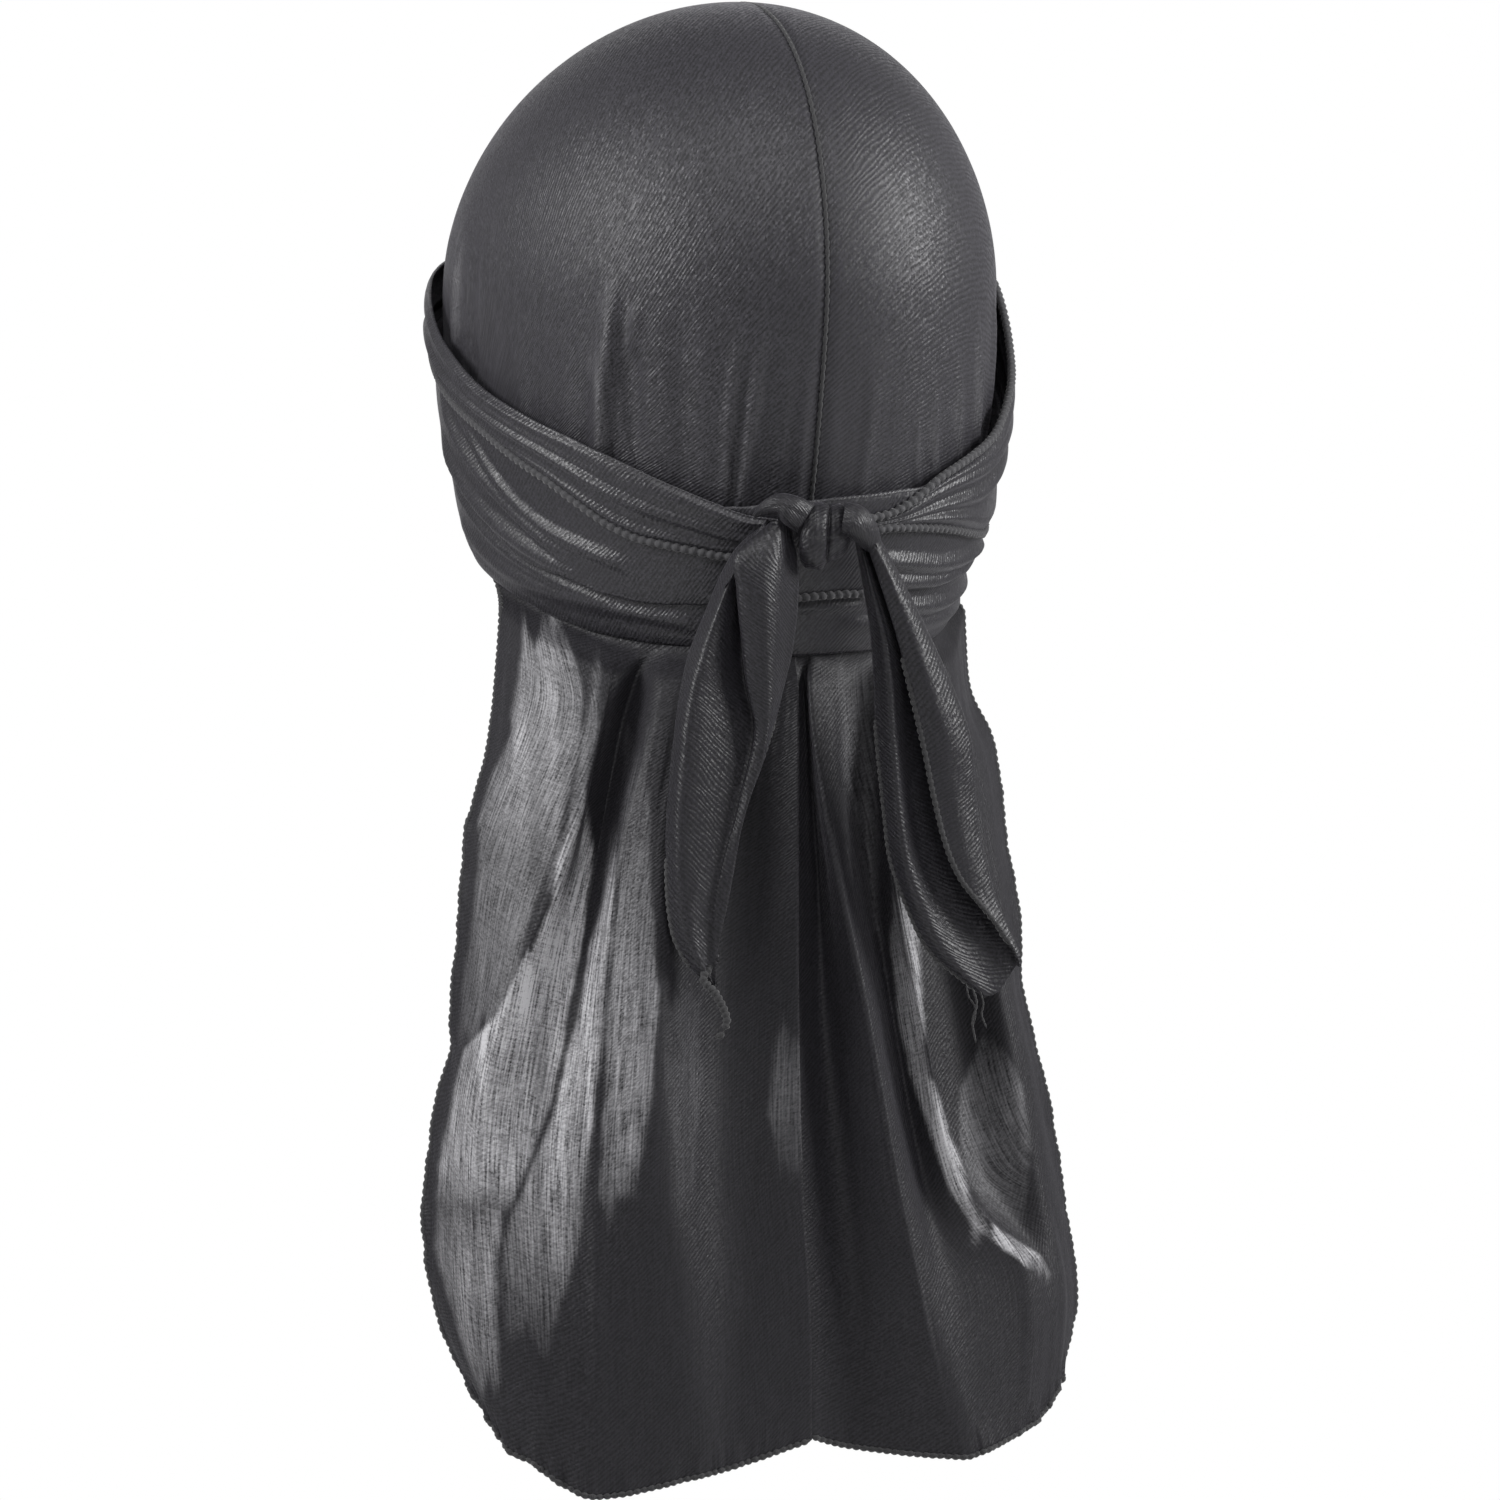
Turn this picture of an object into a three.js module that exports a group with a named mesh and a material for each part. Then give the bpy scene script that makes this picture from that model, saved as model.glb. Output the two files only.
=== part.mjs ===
// A silky durag in its worn, tied shape, as it keeps its form over the back of a head.
// Units are millimetres, +Z is up, the wearer faces -Y and +X is the wearer's left.
// The origin is the inside of the crown's top, where the crown rests on the head.
import * as THREE from "three";
import { mergeVertices } from "three/addons/utils/BufferGeometryUtils.js";

// Head form that the cloth is drawn over
const headHalfWidth = 74;
const headHalfDepth = 96;
const domeHeight = 80;
const crownSetBack = 14;
const neckDrop = 100;
const neckNarrowing = 0.23;
const napeHollow = 0.3;
const faceHollow = 0.05;

// Cloth walls and the clearances between layers
const clothWall = 1.0;
const layerGap = 0.5;
const seamGap = 0.3;
const seatGap = 0.35;

// Crown, its centre seam and its folds
const crownDrop = 165;
const seamWidth = 3.2;
const seamHeight = 1.1;
const seamFrontDrop = 95.7;
const crownFoldHeight = 2.2;

// Straps: the lowest edge of the wrap at the nape, and how high their folds stand.
// The angles are where they step up over the flap's sides and over the seam at the brow.
const wrapDrop = 181;
const strapFoldHeight = 2.4;
const flapStepStart = 3;
const flapStepEnd = 24;
const seamStepStart = 165;
const seamStepEnd = 173;

// Knot, and how far its middle lies above the lowest edge of the wrap
const knotWidth = 17;
const knotHeight = 21;
const knotThickness = 13;
const knotRise = 34;
const knotCreaseDepth = 1.3;
const knotCreaseWidth = 0.25;
const knotCreaseShift = 0.1;
const knotSquareness = 0.75;

// Flap: how far its top is tucked up under the wrap, its hem below the crown's top, and how it leaves the head
const flapUnderlap = 40;
const flapHemDepth = 408;
const flapHalfWidth = 96;
const flapCornerDrop = 72;
const flapSwing = 24.5;
const flapSeatAngle = 88;
const flapRelease = 20;
const flapEarlyEdge = 0.115;
const flapEarlyPower = 2.6;

// Free ends of the straps below the knot
const tailLength = 131;
const tailSpread = 37;
const tailWallShare = 1.4;
const tailCurl = 5;
const tailTuckDepth = 3.5;

const degree = Math.PI / 180;
const layerPitch = clothWall + layerGap;
const flapTopDepth = wrapDrop - flapUnderlap;
const knotDepth = wrapDrop - knotRise;

// Crown edge, as shares of crownDrop, from the nape round to the brow
const crownEdge = [
  { angle: 0, depth: 1.0 },
  { angle: 45, depth: 0.95 },
  { angle: 90, depth: 0.78 },
  { angle: 135, depth: 0.64 },
  { angle: 180, depth: 0.6 },
];

// Folds pulled into the crown above the wrap. Depths are shares of wrapDrop.
const crownFolds = [
  { angle: 37, lean: 1, from: 0.38, to: 0.69, width: 5.4, height: 1.0 },
  { angle: 31, lean: -2, from: 0.42, to: 0.7, width: 4.8, height: -0.45 },
  { angle: 11, lean: 1, from: 0.48, to: 0.74, width: 4.2, height: 0.55 },
  { angle: -13, lean: 0, from: 0.5, to: 0.73, width: 3.8, height: 0.45 },
  { angle: -36, lean: 2, from: 0.52, to: 0.68, width: 4.2, height: 0.5 },
  { angle: -48, lean: 3, from: 0.42, to: 0.63, width: 4.2, height: 0.6 },
  { angle: 82, lean: 6, from: 0.32, to: 0.52, width: 8, height: 0.9 },
];

// The left strap from the left temple, round the nape, right ear and brow, and back to the knot.
// Turn is in degrees, 0 at the nape and positive to the wearer's left.
// Top and bottom are shares of wrapDrop, and layer counts the cloth under it.
const leftStrap = [
  { turn: 152, top: 0.4, bottom: 0.53, layer: 1 },
  { turn: 120, top: 0.51, bottom: 0.72, layer: 1 },
  { turn: 97, top: 0.62, bottom: 0.85, layer: 1 },
  { turn: 72, top: 0.71, bottom: 0.922, layer: 1 },
  { turn: 52, top: 0.77, bottom: 0.963, layer: 1 },
  { turn: 34, top: 0.812, bottom: 0.983, layer: 1 },
  { turn: 0, top: 0.85, bottom: 1.0, layer: 1 },
  { turn: -22, top: 0.84, bottom: 0.99, layer: 1 },
  { turn: -47, top: 0.8, bottom: 0.972, layer: 1 },
  { turn: -70, top: 0.75, bottom: 0.935, layer: 1 },
  { turn: -90, top: 0.68, bottom: 0.87, layer: 1 },
  { turn: -120, top: 0.54, bottom: 0.74, layer: 1 },
  { turn: -150, top: 0.38, bottom: 0.56, layer: 1 },
  { turn: -170, top: 0.31, bottom: 0.435, layer: 1 },
  { turn: -190, top: 0.31, bottom: 0.42, layer: 1.5 },
  { turn: -212, top: 0.33, bottom: 0.435, layer: 3 },
  { turn: -240, top: 0.37, bottom: 0.475, layer: 3 },
  { turn: -258, top: 0.43, bottom: 0.53, layer: 3 },
  { turn: -270, top: 0.505, bottom: 0.59, layer: 3 },
  { turn: -284, top: 0.6, bottom: 0.672, layer: 3 },
  { turn: -295, top: 0.637, bottom: 0.724, layer: 3 },
  { turn: -304, top: 0.665, bottom: 0.762, layer: 3 },
  { turn: -319, top: 0.712, bottom: 0.832, layer: 3 },
  { turn: -333, top: 0.757, bottom: 0.858, layer: 3 },
  { turn: -345, top: 0.789, bottom: 0.852, layer: 3 },
  { turn: -352, top: 0.797, bottom: 0.838, layer: 3 },
];

// The right strap from the right temple, round the nape, left ear and brow, and back to the knot
const rightStrap = [
  { turn: -152, top: 0.41, bottom: 0.54, layer: 2 },
  { turn: -120, top: 0.46, bottom: 0.65, layer: 2 },
  { turn: -97, top: 0.53, bottom: 0.745, layer: 2 },
  { turn: -75, top: 0.61, bottom: 0.815, layer: 2 },
  { turn: -55, top: 0.685, bottom: 0.865, layer: 2 },
  { turn: -40, top: 0.722, bottom: 0.89, layer: 2 },
  { turn: -25, top: 0.748, bottom: 0.902, layer: 2 },
  { turn: 0, top: 0.77, bottom: 0.912, layer: 2 },
  { turn: 25, top: 0.78, bottom: 0.922, layer: 2 },
  { turn: 42, top: 0.762, bottom: 0.915, layer: 2 },
  { turn: 60, top: 0.71, bottom: 0.873, layer: 2 },
  { turn: 70, top: 0.672, bottom: 0.848, layer: 2 },
  { turn: 81, top: 0.62, bottom: 0.8, layer: 2 },
  { turn: 92, top: 0.57, bottom: 0.745, layer: 2 },
  { turn: 104, top: 0.52, bottom: 0.685, layer: 2 },
  { turn: 125, top: 0.465, bottom: 0.6, layer: 2 },
  { turn: 150, top: 0.445, bottom: 0.545, layer: 2 },
  { turn: 180, top: 0.435, bottom: 0.53, layer: 2 },
  { turn: 208, top: 0.4, bottom: 0.53, layer: 3 },
  { turn: 240, top: 0.355, bottom: 0.545, layer: 3 },
  { turn: 255, top: 0.365, bottom: 0.6, layer: 3 },
  { turn: 270, top: 0.43, bottom: 0.69, layer: 3 },
  { turn: 285, top: 0.52, bottom: 0.765, layer: 3 },
  { turn: 305, top: 0.645, bottom: 0.83, layer: 3 },
  { turn: 320, top: 0.705, bottom: 0.842, layer: 3 },
  { turn: 332, top: 0.745, bottom: 0.846, layer: 3 },
  { turn: 342, top: 0.778, bottom: 0.844, layer: 3 },
  { turn: 349, top: 0.79, bottom: 0.838, layer: 3 },
];

// Lengthwise folds of the straps where they show. Across runs from 0, the top edge, to 1.
const leftStrapFolds = [
  { from: -350, to: -245, across: 0.42, toAcross: 0.5, width: 0.3, height: 0.8 },
  { from: 70, to: 118, across: 0.72, toAcross: 0.78, width: 0.14, height: 0.9 },
  { from: -75, to: 68, across: 0.86, toAcross: 0.86, width: 0.12, height: 0.7 },
];
const rightStrapFolds = [
  { from: 28, to: 112, across: 0.86, toAcross: 0.38, width: 0.16, height: 0.9 },
  { from: 20, to: 120, across: 0.93, toAcross: 0.8, width: 0.12, height: 1.0 },
  { from: -70, to: -8, across: 0.85, toAcross: 0.8, width: 0.13, height: 0.8 },
  { from: 235, to: 344, across: 0.3, toAcross: 0.35, width: 0.16, height: 1.0 },
  { from: 235, to: 344, across: 0.75, toAcross: 0.8, width: 0.15, height: 0.9 },
];

// The flap's levels between its top and the hem, as shares of that drop; each line ends at the hem itself
const flapLevels = [0.2, 0.37, 0.56, 0.77];

// Fold lines of each half of the flap, from the centre seam to the side edge. Seat is where the line leaves the
// head, a share of flapSeatAngle, and rise is its hem's share of flapCornerDrop. Out and back are shares of
// flapHalfWidth and of the deepest reach behind the head, one for each level and one for the hem.
const leftFlapLines = [
  { seat: 0, rise: 0.2, out: [0.01, 0.02, 0.03, 0.02, 0.01], back: [0.75, 0.82, 0.87, 0.9, 0.9] },
  { seat: 0.09, rise: 0.12, out: [0.11, 0.18, 0.25, 0.25, 0.22], back: [0.7, 0.73, 0.8, 0.88, 0.9] },
  { seat: 0.27, rise: 0.08, out: [0.32, 0.43, 0.48, 0.45, 0.39], back: [0.75, 0.87, 0.94, 0.97, 0.93] },
  { seat: 0.36, rise: 0, out: [0.42, 0.55, 0.63, 0.66, 0.64], back: [0.71, 0.79, 0.85, 0.91, 0.91] },
  { seat: 0.42, rise: 0.06, out: [0.47, 0.58, 0.68, 0.77, 0.75], back: [0.54, 0.56, 0.66, 0.81, 0.87] },
  { seat: 0.49, rise: 0.13, out: [0.54, 0.65, 0.77, 0.85, 0.81], back: [0.63, 0.69, 0.74, 0.81, 0.84] },
  { seat: 0.59, rise: 0.19, out: [0.58, 0.73, 0.91, 0.95, 0.87], back: [0.66, 0.75, 0.75, 0.74, 0.77] },
  { seat: 0.8, rise: 0.31, out: [0.72, 0.85, 0.96, 1.01, 0.92], back: [0.48, 0.6, 0.62, 0.64, 0.69] },
  { seat: 1, rise: 0.44, out: [0.77, 0.92, 0.98, 1.05, 0.96], back: [0.21, 0.42, 0.46, 0.52, 0.6] },
];
const rightFlapLines = [
  { seat: 0, rise: 0.22, out: [-0.01, -0.02, -0.02, -0.01, 0], back: [0.73, 0.78, 0.82, 0.86, 0.86] },
  { seat: 0.035, rise: 0.18, out: [0.04, 0.06, 0.09, 0.12, 0.12], back: [0.69, 0.7, 0.77, 0.84, 0.87] },
  { seat: 0.08, rise: 0.14, out: [0.07, 0.1, 0.17, 0.27, 0.38], back: [0.76, 0.86, 0.93, 0.98, 0.96] },
  { seat: 0.23, rise: 0.15, out: [0.18, 0.22, 0.28, 0.39, 0.5], back: [0.67, 0.72, 0.79, 0.9, 0.94] },
  { seat: 0.33, rise: 0.2, out: [0.26, 0.28, 0.36, 0.62, 0.61], back: [0.7, 0.84, 0.89, 0.85, 0.88] },
  { seat: 0.375, rise: 0.24, out: [0.31, 0.34, 0.42, 0.66, 0.67], back: [0.58, 0.64, 0.71, 0.81, 0.84] },
  { seat: 0.44, rise: 0.28, out: [0.38, 0.44, 0.54, 0.72, 0.73], back: [0.5, 0.52, 0.57, 0.71, 0.78] },
  { seat: 0.625, rise: 0.36, out: [0.54, 0.6, 0.67, 0.79, 0.78], back: [0.46, 0.57, 0.62, 0.67, 0.71] },
  { seat: 0.82, rise: 0.4, out: [0.66, 0.69, 0.76, 0.86, 0.82], back: [0.34, 0.49, 0.55, 0.6, 0.66] },
  { seat: 1, rise: 0.43, out: [0.71, 0.75, 0.8, 0.89, 0.83], back: [0.19, 0.39, 0.45, 0.51, 0.6] },
];

// Tail outlines: drop is a share of tailLength, near and far are shares of tailSpread from the knot's side
const leftTail = [
  { drop: 0.0, near: 0.0, far: 0.28 },
  { drop: 0.06, near: 0.02, far: 0.44 },
  { drop: 0.12, near: -0.08, far: 0.57 },
  { drop: 0.17, near: -0.09, far: 0.64 },
  { drop: 0.26, near: -0.04, far: 0.73 },
  { drop: 0.37, near: 0.0, far: 0.83 },
  { drop: 0.47, near: 0.08, far: 0.88 },
  { drop: 0.59, near: 0.27, far: 0.93 },
  { drop: 0.69, near: 0.41, far: 0.95 },
  { drop: 0.8, near: 0.49, far: 0.94 },
  { drop: 0.91, near: 0.53, far: 0.87 },
  { drop: 1.0, near: 0.57, far: 0.71 },
];
const rightTail = [
  { drop: 0.0, near: 0.0, far: 0.2 },
  { drop: 0.08, near: 0.07, far: 0.42 },
  { drop: 0.17, near: 0.18, far: 0.63 },
  { drop: 0.3, near: 0.22, far: 0.81 },
  { drop: 0.44, near: 0.25, far: 0.98 },
  { drop: 0.56, near: 0.26, far: 1.00 },
  { drop: 0.7, near: 0.31, far: 1.09 },
  { drop: 0.8, near: 0.38, far: 1.17 },
  { drop: 0.9, near: 0.53, far: 1.35 },
  { drop: 0.96, near: 0.73, far: 1.39 },
  { drop: 1.0, near: 0.94, far: 1.19 },
];

// Smoothstep from 0 at low to 1 at high
function ease(value, low, high) {
  const share = Math.min(1, Math.max(0, (value - low) / (high - low)));
  return share * share * (3 - 2 * share);
}

// A rounded ridge, 1 at its middle and 0 at its width on either side
function ridge(offset, width) {
  const share = Math.min(1, Math.abs(offset) / width);
  return (1 - share * share) ** 2;
}

// Reads one column of a table by a smooth curve through its rows, which may rise or fall in key
function readTable(rows, key, at, column) {
  const rising = rows[rows.length - 1][key] > rows[0][key] ? 1 : -1;
  let i = 0;
  while (i < rows.length - 2 && rising * (at - rows[i + 1][key]) > 0) i += 1;
  const slope = (k) => {
    const low = rows[Math.max(0, k - 1)];
    const high = rows[Math.min(rows.length - 1, k + 1)];
    return (high[column] - low[column]) / (high[key] - low[key]);
  };
  const span = rows[i + 1][key] - rows[i][key];
  const t = Math.min(1, Math.max(0, (at - rows[i][key]) / span));
  const start = rows[i][column];
  const end = rows[i + 1][column];
  const a = slope(i) * span - (end - start);
  const b = -slope(i + 1) * span + (end - start);
  return (1 - t) * start + t * end + t * (1 - t) * ((1 - t) * a + t * b);
}

// A point on the head form: angle 0 at the nape, positive to the wearer's left
function onHead(angle, depth, standOff) {
  const rise = Math.max(0, 1 - depth / domeHeight);
  const round = Math.sqrt(1 - rise * rise);
  const below = Math.max(0, depth - domeHeight) / neckDrop;
  const across = Math.sin(angle * degree);
  const along = Math.cos(angle * degree);
  const backShare = 1 - napeHollow * below ** 1.4;
  const frontShare = 1 - faceHollow * below * below;
  const depthShare = frontShare + (backShare - frontShare) * ease(along, -0.5, 0.5);
  const point = new THREE.Vector3(
    headHalfWidth * round * across * (1 - neckNarrowing * below * below),
    headHalfDepth * round * along * depthShare + crownSetBack * (rise * rise - 1),
    -depth,
  );
  const away = new THREE.Vector3(
    (round * across) / headHalfWidth,
    (round * along) / headHalfDepth,
    rise / domeHeight,
  ).normalize();
  return point.addScaledVector(away, standOff);
}

// A closed body between two grids of points, at(row, column, side) with side 0 outside and 1 inside
function clothSolid(rows, columns, at) {
  const positions = [];
  for (let side = 0; side < 2; side += 1) {
    for (let i = 0; i <= rows; i += 1) {
      for (let j = 0; j <= columns; j += 1) {
        positions.push(...at(i / rows, j / columns, side).toArray());
      }
    }
  }
  const layer = (rows + 1) * (columns + 1);
  const corner = (i, j, side) => side * layer + i * (columns + 1) + j;
  const index = [];
  const quad = (a, b, c, d) => index.push(a, b, c, a, c, d);
  for (let i = 0; i < rows; i += 1) {
    for (let j = 0; j < columns; j += 1) {
      quad(corner(i, j, 0), corner(i + 1, j, 0), corner(i + 1, j + 1, 0), corner(i, j + 1, 0));
      quad(corner(i, j, 1), corner(i, j + 1, 1), corner(i + 1, j + 1, 1), corner(i + 1, j, 1));
    }
  }
  for (let i = 0; i < rows; i += 1) {
    quad(corner(i, 0, 0), corner(i, 0, 1), corner(i + 1, 0, 1), corner(i + 1, 0, 0));
    quad(corner(i, columns, 0), corner(i + 1, columns, 0), corner(i + 1, columns, 1), corner(i, columns, 1));
  }
  for (let j = 0; j < columns; j += 1) {
    quad(corner(0, j, 0), corner(0, j + 1, 0), corner(0, j + 1, 1), corner(0, j, 1));
    quad(corner(rows, j, 0), corner(rows, j, 1), corner(rows, j + 1, 1), corner(rows, j + 1, 0));
  }
  return tidySolid(positions, index);
}

// Merges shared points, drops faces with no area and turns the faces outward
function tidySolid(positions, index) {
  let geometry = new THREE.BufferGeometry();
  geometry.setAttribute("position", new THREE.Float32BufferAttribute(positions, 3));
  geometry.setIndex(index);
  geometry = mergeVertices(geometry, 1e-3);
  const merged = Array.from(geometry.index.array);
  const faces = [];
  let volume = 0;
  const [a, b, c] = [new THREE.Vector3(), new THREE.Vector3(), new THREE.Vector3()];
  for (let k = 0; k < merged.length; k += 3) {
    const [p, q, r] = merged.slice(k, k + 3);
    if (p === q || q === r || r === p) continue;
    faces.push([p, q, r]);
    a.fromBufferAttribute(geometry.attributes.position, p);
    b.fromBufferAttribute(geometry.attributes.position, q);
    c.fromBufferAttribute(geometry.attributes.position, r);
    volume += a.dot(b.cross(c));
  }
  const outward = volume > 0 ? faces : faces.map(([p, q, r]) => [p, r, q]);
  geometry.setIndex(outward.flat());
  geometry.computeVertexNormals();
  return geometry;
}

// A wall of cloth behind an outer surface, thickened along the surface's own normal
function walledSurface(rows, columns, surface, wall) {
  const step = 1e-3;
  const normalAt = (u, v) => {
    const du = surface(Math.min(1, u + step), v).sub(surface(Math.max(0, u - step), v));
    const dv = surface(u, Math.min(1, v + step)).sub(surface(u, Math.max(0, v - step)));
    return du.cross(dv).normalize();
  };
  const facing = normalAt(0.5, 0.5).y > 0 ? 1 : -1;
  return clothSolid(rows, columns, (u, v, side) =>
    surface(u, v).addScaledVector(normalAt(u, v), -facing * wall * side));
}

function crownFoldLift(angle, depth) {
  let lift = 0;
  for (const fold of crownFolds) {
    const from = fold.from * wrapDrop;
    const to = fold.to * wrapDrop;
    const along = (depth - from) / (to - from);
    if (along <= 0 || along >= 1) continue;
    const centre = fold.angle + fold.lean * along;
    lift += fold.height * ridge(angle - centre, fold.width) * ease(along, 0, 0.6)
      * ease(1 - along, 0, 0.12);
  }
  return lift * crownFoldHeight;
}

// Half of the crown, from the centre seam round one side to the brow
function crownHalf(side) {
  const rows = 18;
  const columns = 26;
  const domeArc = (domeHeight * Math.PI) / 2;
  return clothSolid(rows, columns, (u, v, inside) => {
    const angle = side * 180 * v;
    const edge = crownDrop * readTable(crownEdge, "angle", 180 * v, "depth");
    const run = u * (domeArc + edge - domeHeight);
    const depth = run < domeArc
      ? domeHeight * (1 - Math.cos(run / domeHeight))
      : domeHeight + run - domeArc;
    const lift = crownFoldLift(angle, depth);
    const point = onHead(angle, depth, lift + (inside ? 0 : clothWall));
    point.x += (side * seamGap) / 2;
    return point;
  });
}

// The stitched rib over the centre seam, from below the brow strap over the top to the nape strap
function crownSeam() {
  const rows = 34;
  const backEnd = flapTopDepth - seamHeight * 3;
  const domeArc = (domeHeight * Math.PI) / 2;
  const backRun = domeArc + backEnd - domeHeight;
  const frontRun = domeArc + seamFrontDrop - domeHeight;
  return clothSolid(rows, 2, (u, v, inside) => {
    const run = backRun - u * (backRun + frontRun);
    const length = Math.abs(run);
    const depth = length < domeArc
      ? domeHeight * (1 - Math.cos(length / domeHeight))
      : domeHeight + length - domeArc;
    const crest = 1 - Math.abs(2 * v - 1);
    const height = inside ? 0 : seamHeight * (0.45 + 0.55 * crest);
    const point = onHead(run > 0 ? 0 : 180, depth, clothWall + seatGap + height);
    point.x += seamWidth * (v - 0.5);
    return point;
  });
}

// How far the straps stand off for the flap's top at the nape and the seam at the brow
function packedUnder(turn) {
  const angle = Math.abs(((turn + 540) % 360) - 180);
  const nape = 1 - ease(angle, flapSeatAngle + flapStepStart, flapSeatAngle + flapStepEnd);
  const brow = ease(angle, seamStepStart, seamStepEnd);
  return layerPitch * nape + (seamHeight + seatGap) * brow;
}

function strapFoldLift(folds, turn, across) {
  let lift = 0;
  for (const fold of folds) {
    const along = (turn - fold.from) / (fold.to - fold.from);
    if (along <= 0 || along >= 1) continue;
    const centre = fold.across + (fold.toAcross - fold.across) * along;
    const fade = ease(along, 0, 0.15) * ease(1 - along, 0, 0.15);
    lift = Math.max(lift, fold.height * ridge(across - centre, fold.width) * fade);
  }
  return lift * strapFoldHeight;
}

// A strap wound round the head between the top and bottom edges of its table
function strap(table, folds) {
  const rows = 60;
  const columns = 7;
  const first = table[0].turn;
  const last = table[table.length - 1].turn;
  return clothSolid(rows, columns, (u, v, inside) => {
    const turn = first + (last - first) * u;
    const top = wrapDrop * readTable(table, "turn", turn, "top");
    const bottom = wrapDrop * readTable(table, "turn", turn, "bottom");
    const layer = readTable(table, "turn", turn, "layer");
    const base = layerPitch * layer + packedUnder(turn);
    const lift = strapFoldLift(folds, turn, v);
    return onHead(turn, top + (bottom - top) * v, base + lift + (inside ? 0 : clothWall));
  });
}

// How far the knot's inner side stands off the head, over the straps' last turn
function knotSeat() {
  return layerPitch * 3 + packedUnder(0) + seatGap;
}

function knotMiddle() {
  return onHead(0, knotDepth, knotSeat() + knotThickness / 2);
}

// The knot: a rounded lump with a crease beside its wrapping turn
function knot() {
  const rows = 12;
  const columns = 20;
  const positions = [];
  for (let i = 0; i <= rows; i += 1) {
    const tilt = (i / rows) * Math.PI;
    for (let j = 0; j < columns; j += 1) {
      const spin = (j / columns) * 2 * Math.PI;
      const ring = Math.sin(tilt) ** knotSquareness;
      const round = (value) => Math.sign(value) * Math.abs(value) ** knotSquareness;
      const outerSide = Math.sin(spin) > 0 ? 1 : 0;
      const creaseShare = ridge(Math.cos(spin) - knotCreaseShift, knotCreaseWidth);
      const crease = knotCreaseDepth * creaseShare * ring * outerSide;
      const depth = knotDepth - (knotHeight / 2) * Math.cos(tilt);
      const seat = onHead(0, depth, knotSeat());
      positions.push(
        (knotWidth / 2) * ring * round(Math.cos(spin)),
        seat.y + (knotThickness / 2) * (1 + ring * round(Math.sin(spin))) - crease,
        seat.z,
      );
    }
  }
  const index = [];
  for (let i = 0; i < rows; i += 1) {
    for (let j = 0; j < columns; j += 1) {
      const next = (j + 1) % columns;
      const [a, b] = [i * columns + j, i * columns + next];
      const [c, d] = [(i + 1) * columns + next, (i + 1) * columns + j];
      index.push(a, b, c, a, c, d);
    }
  }
  return tidySolid(positions, index);
}

// A fold line's places from the first level to its hem
function flapPath(line) {
  const depths = flapLevels.map((level) => flapTopDepth + level * (flapHemDepth - flapTopDepth));
  depths.push(flapHemDepth - flapCornerDrop * line.rise);
  return depths.map((depth, k) => ({ depth, out: line.out[k], back: line.back[k] }));
}

// Half of the flap: seated under the wrap on the crown, then hanging free in the folds of its lines
function flapHalf(side, lines) {
  const marks = lines.map((line, place) => ({ place, seat: line.seat, rise: line.rise }));
  const paths = lines.map(flapPath);
  const deepest = onHead(0, wrapDrop, layerPitch + clothWall).y + flapSwing;
  const seatedRows = 4;
  const hangingRows = 14;
  const rows = seatedRows + hangingRows;
  const seatedShare = seatedRows / rows;
  const columns = 2 * (lines.length - 1);
  return walledSurface(rows, columns, (u, v) => {
    const place = v * (lines.length - 1);
    const seat = readTable(marks, "place", place, "seat");
    const hem = flapHemDepth - flapCornerDrop * readTable(marks, "place", place, "rise");
    const freeFrom = wrapDrop * (1 - flapEarlyEdge * Math.max(0, seat) ** flapEarlyPower) + layerGap;
    const depth = u < seatedShare
      ? flapTopDepth + ((freeFrom - flapTopDepth) * u) / seatedShare
      : freeFrom + ((hem - freeFrom) * (u - seatedShare)) / (1 - seatedShare);
    const crossing = paths.map((path, k) => ({
      place: k,
      out: readTable(path, "depth", depth, "out"),
      back: readTable(path, "depth", depth, "back"),
    }));
    const seated = onHead(side * flapSeatAngle * seat, depth, layerPitch + clothWall);
    const hanging = new THREE.Vector3(
      side * flapHalfWidth * readTable(crossing, "place", place, "out"),
      deepest * readTable(crossing, "place", place, "back"),
      -depth,
    );
    const point = seated.lerp(hanging, ease(depth, freeFrom, freeFrom + flapRelease));
    point.x += (side * seamGap) / 2;
    return point;
  }, clothWall);
}

// A strap's free end, hanging from the knot in front of the flap
function tail(table, side) {
  return walledSurface(14, 4, (u, v) => {
    const near = tailSpread * readTable(table, "drop", u, "near");
    const far = tailSpread * readTable(table, "drop", u, "far");
    const crown = 1 - (2 * v - 1) ** 2;
    const bend = Math.sin(Math.PI * Math.min(1, u + 0.15)) ** 0.5;
    return new THREE.Vector3(
      side * (knotWidth / 2 + seatGap + near + (far - near) * v),
      knotMiddle().y - tailTuckDepth * ease(u, 0, 0.25) + tailCurl * crown * bend,
      -knotDepth - tailLength * u,
    );
  }, clothWall * tailWallShare);
}

function satin(color) {
  return new THREE.MeshStandardMaterial({ color, roughness: 0.45, metalness: 0, side: THREE.FrontSide });
}

const durag = new THREE.Group();

function addPiece(name, geometry, material) {
  const piece = new THREE.Mesh(geometry, material);
  piece.name = name;
  durag.add(piece);
}

const satinCloth = satin(0x2e2d31);
const stitching = new THREE.MeshStandardMaterial({ color: 0x1c1b1e, roughness: 0.8, metalness: 0 });

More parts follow.
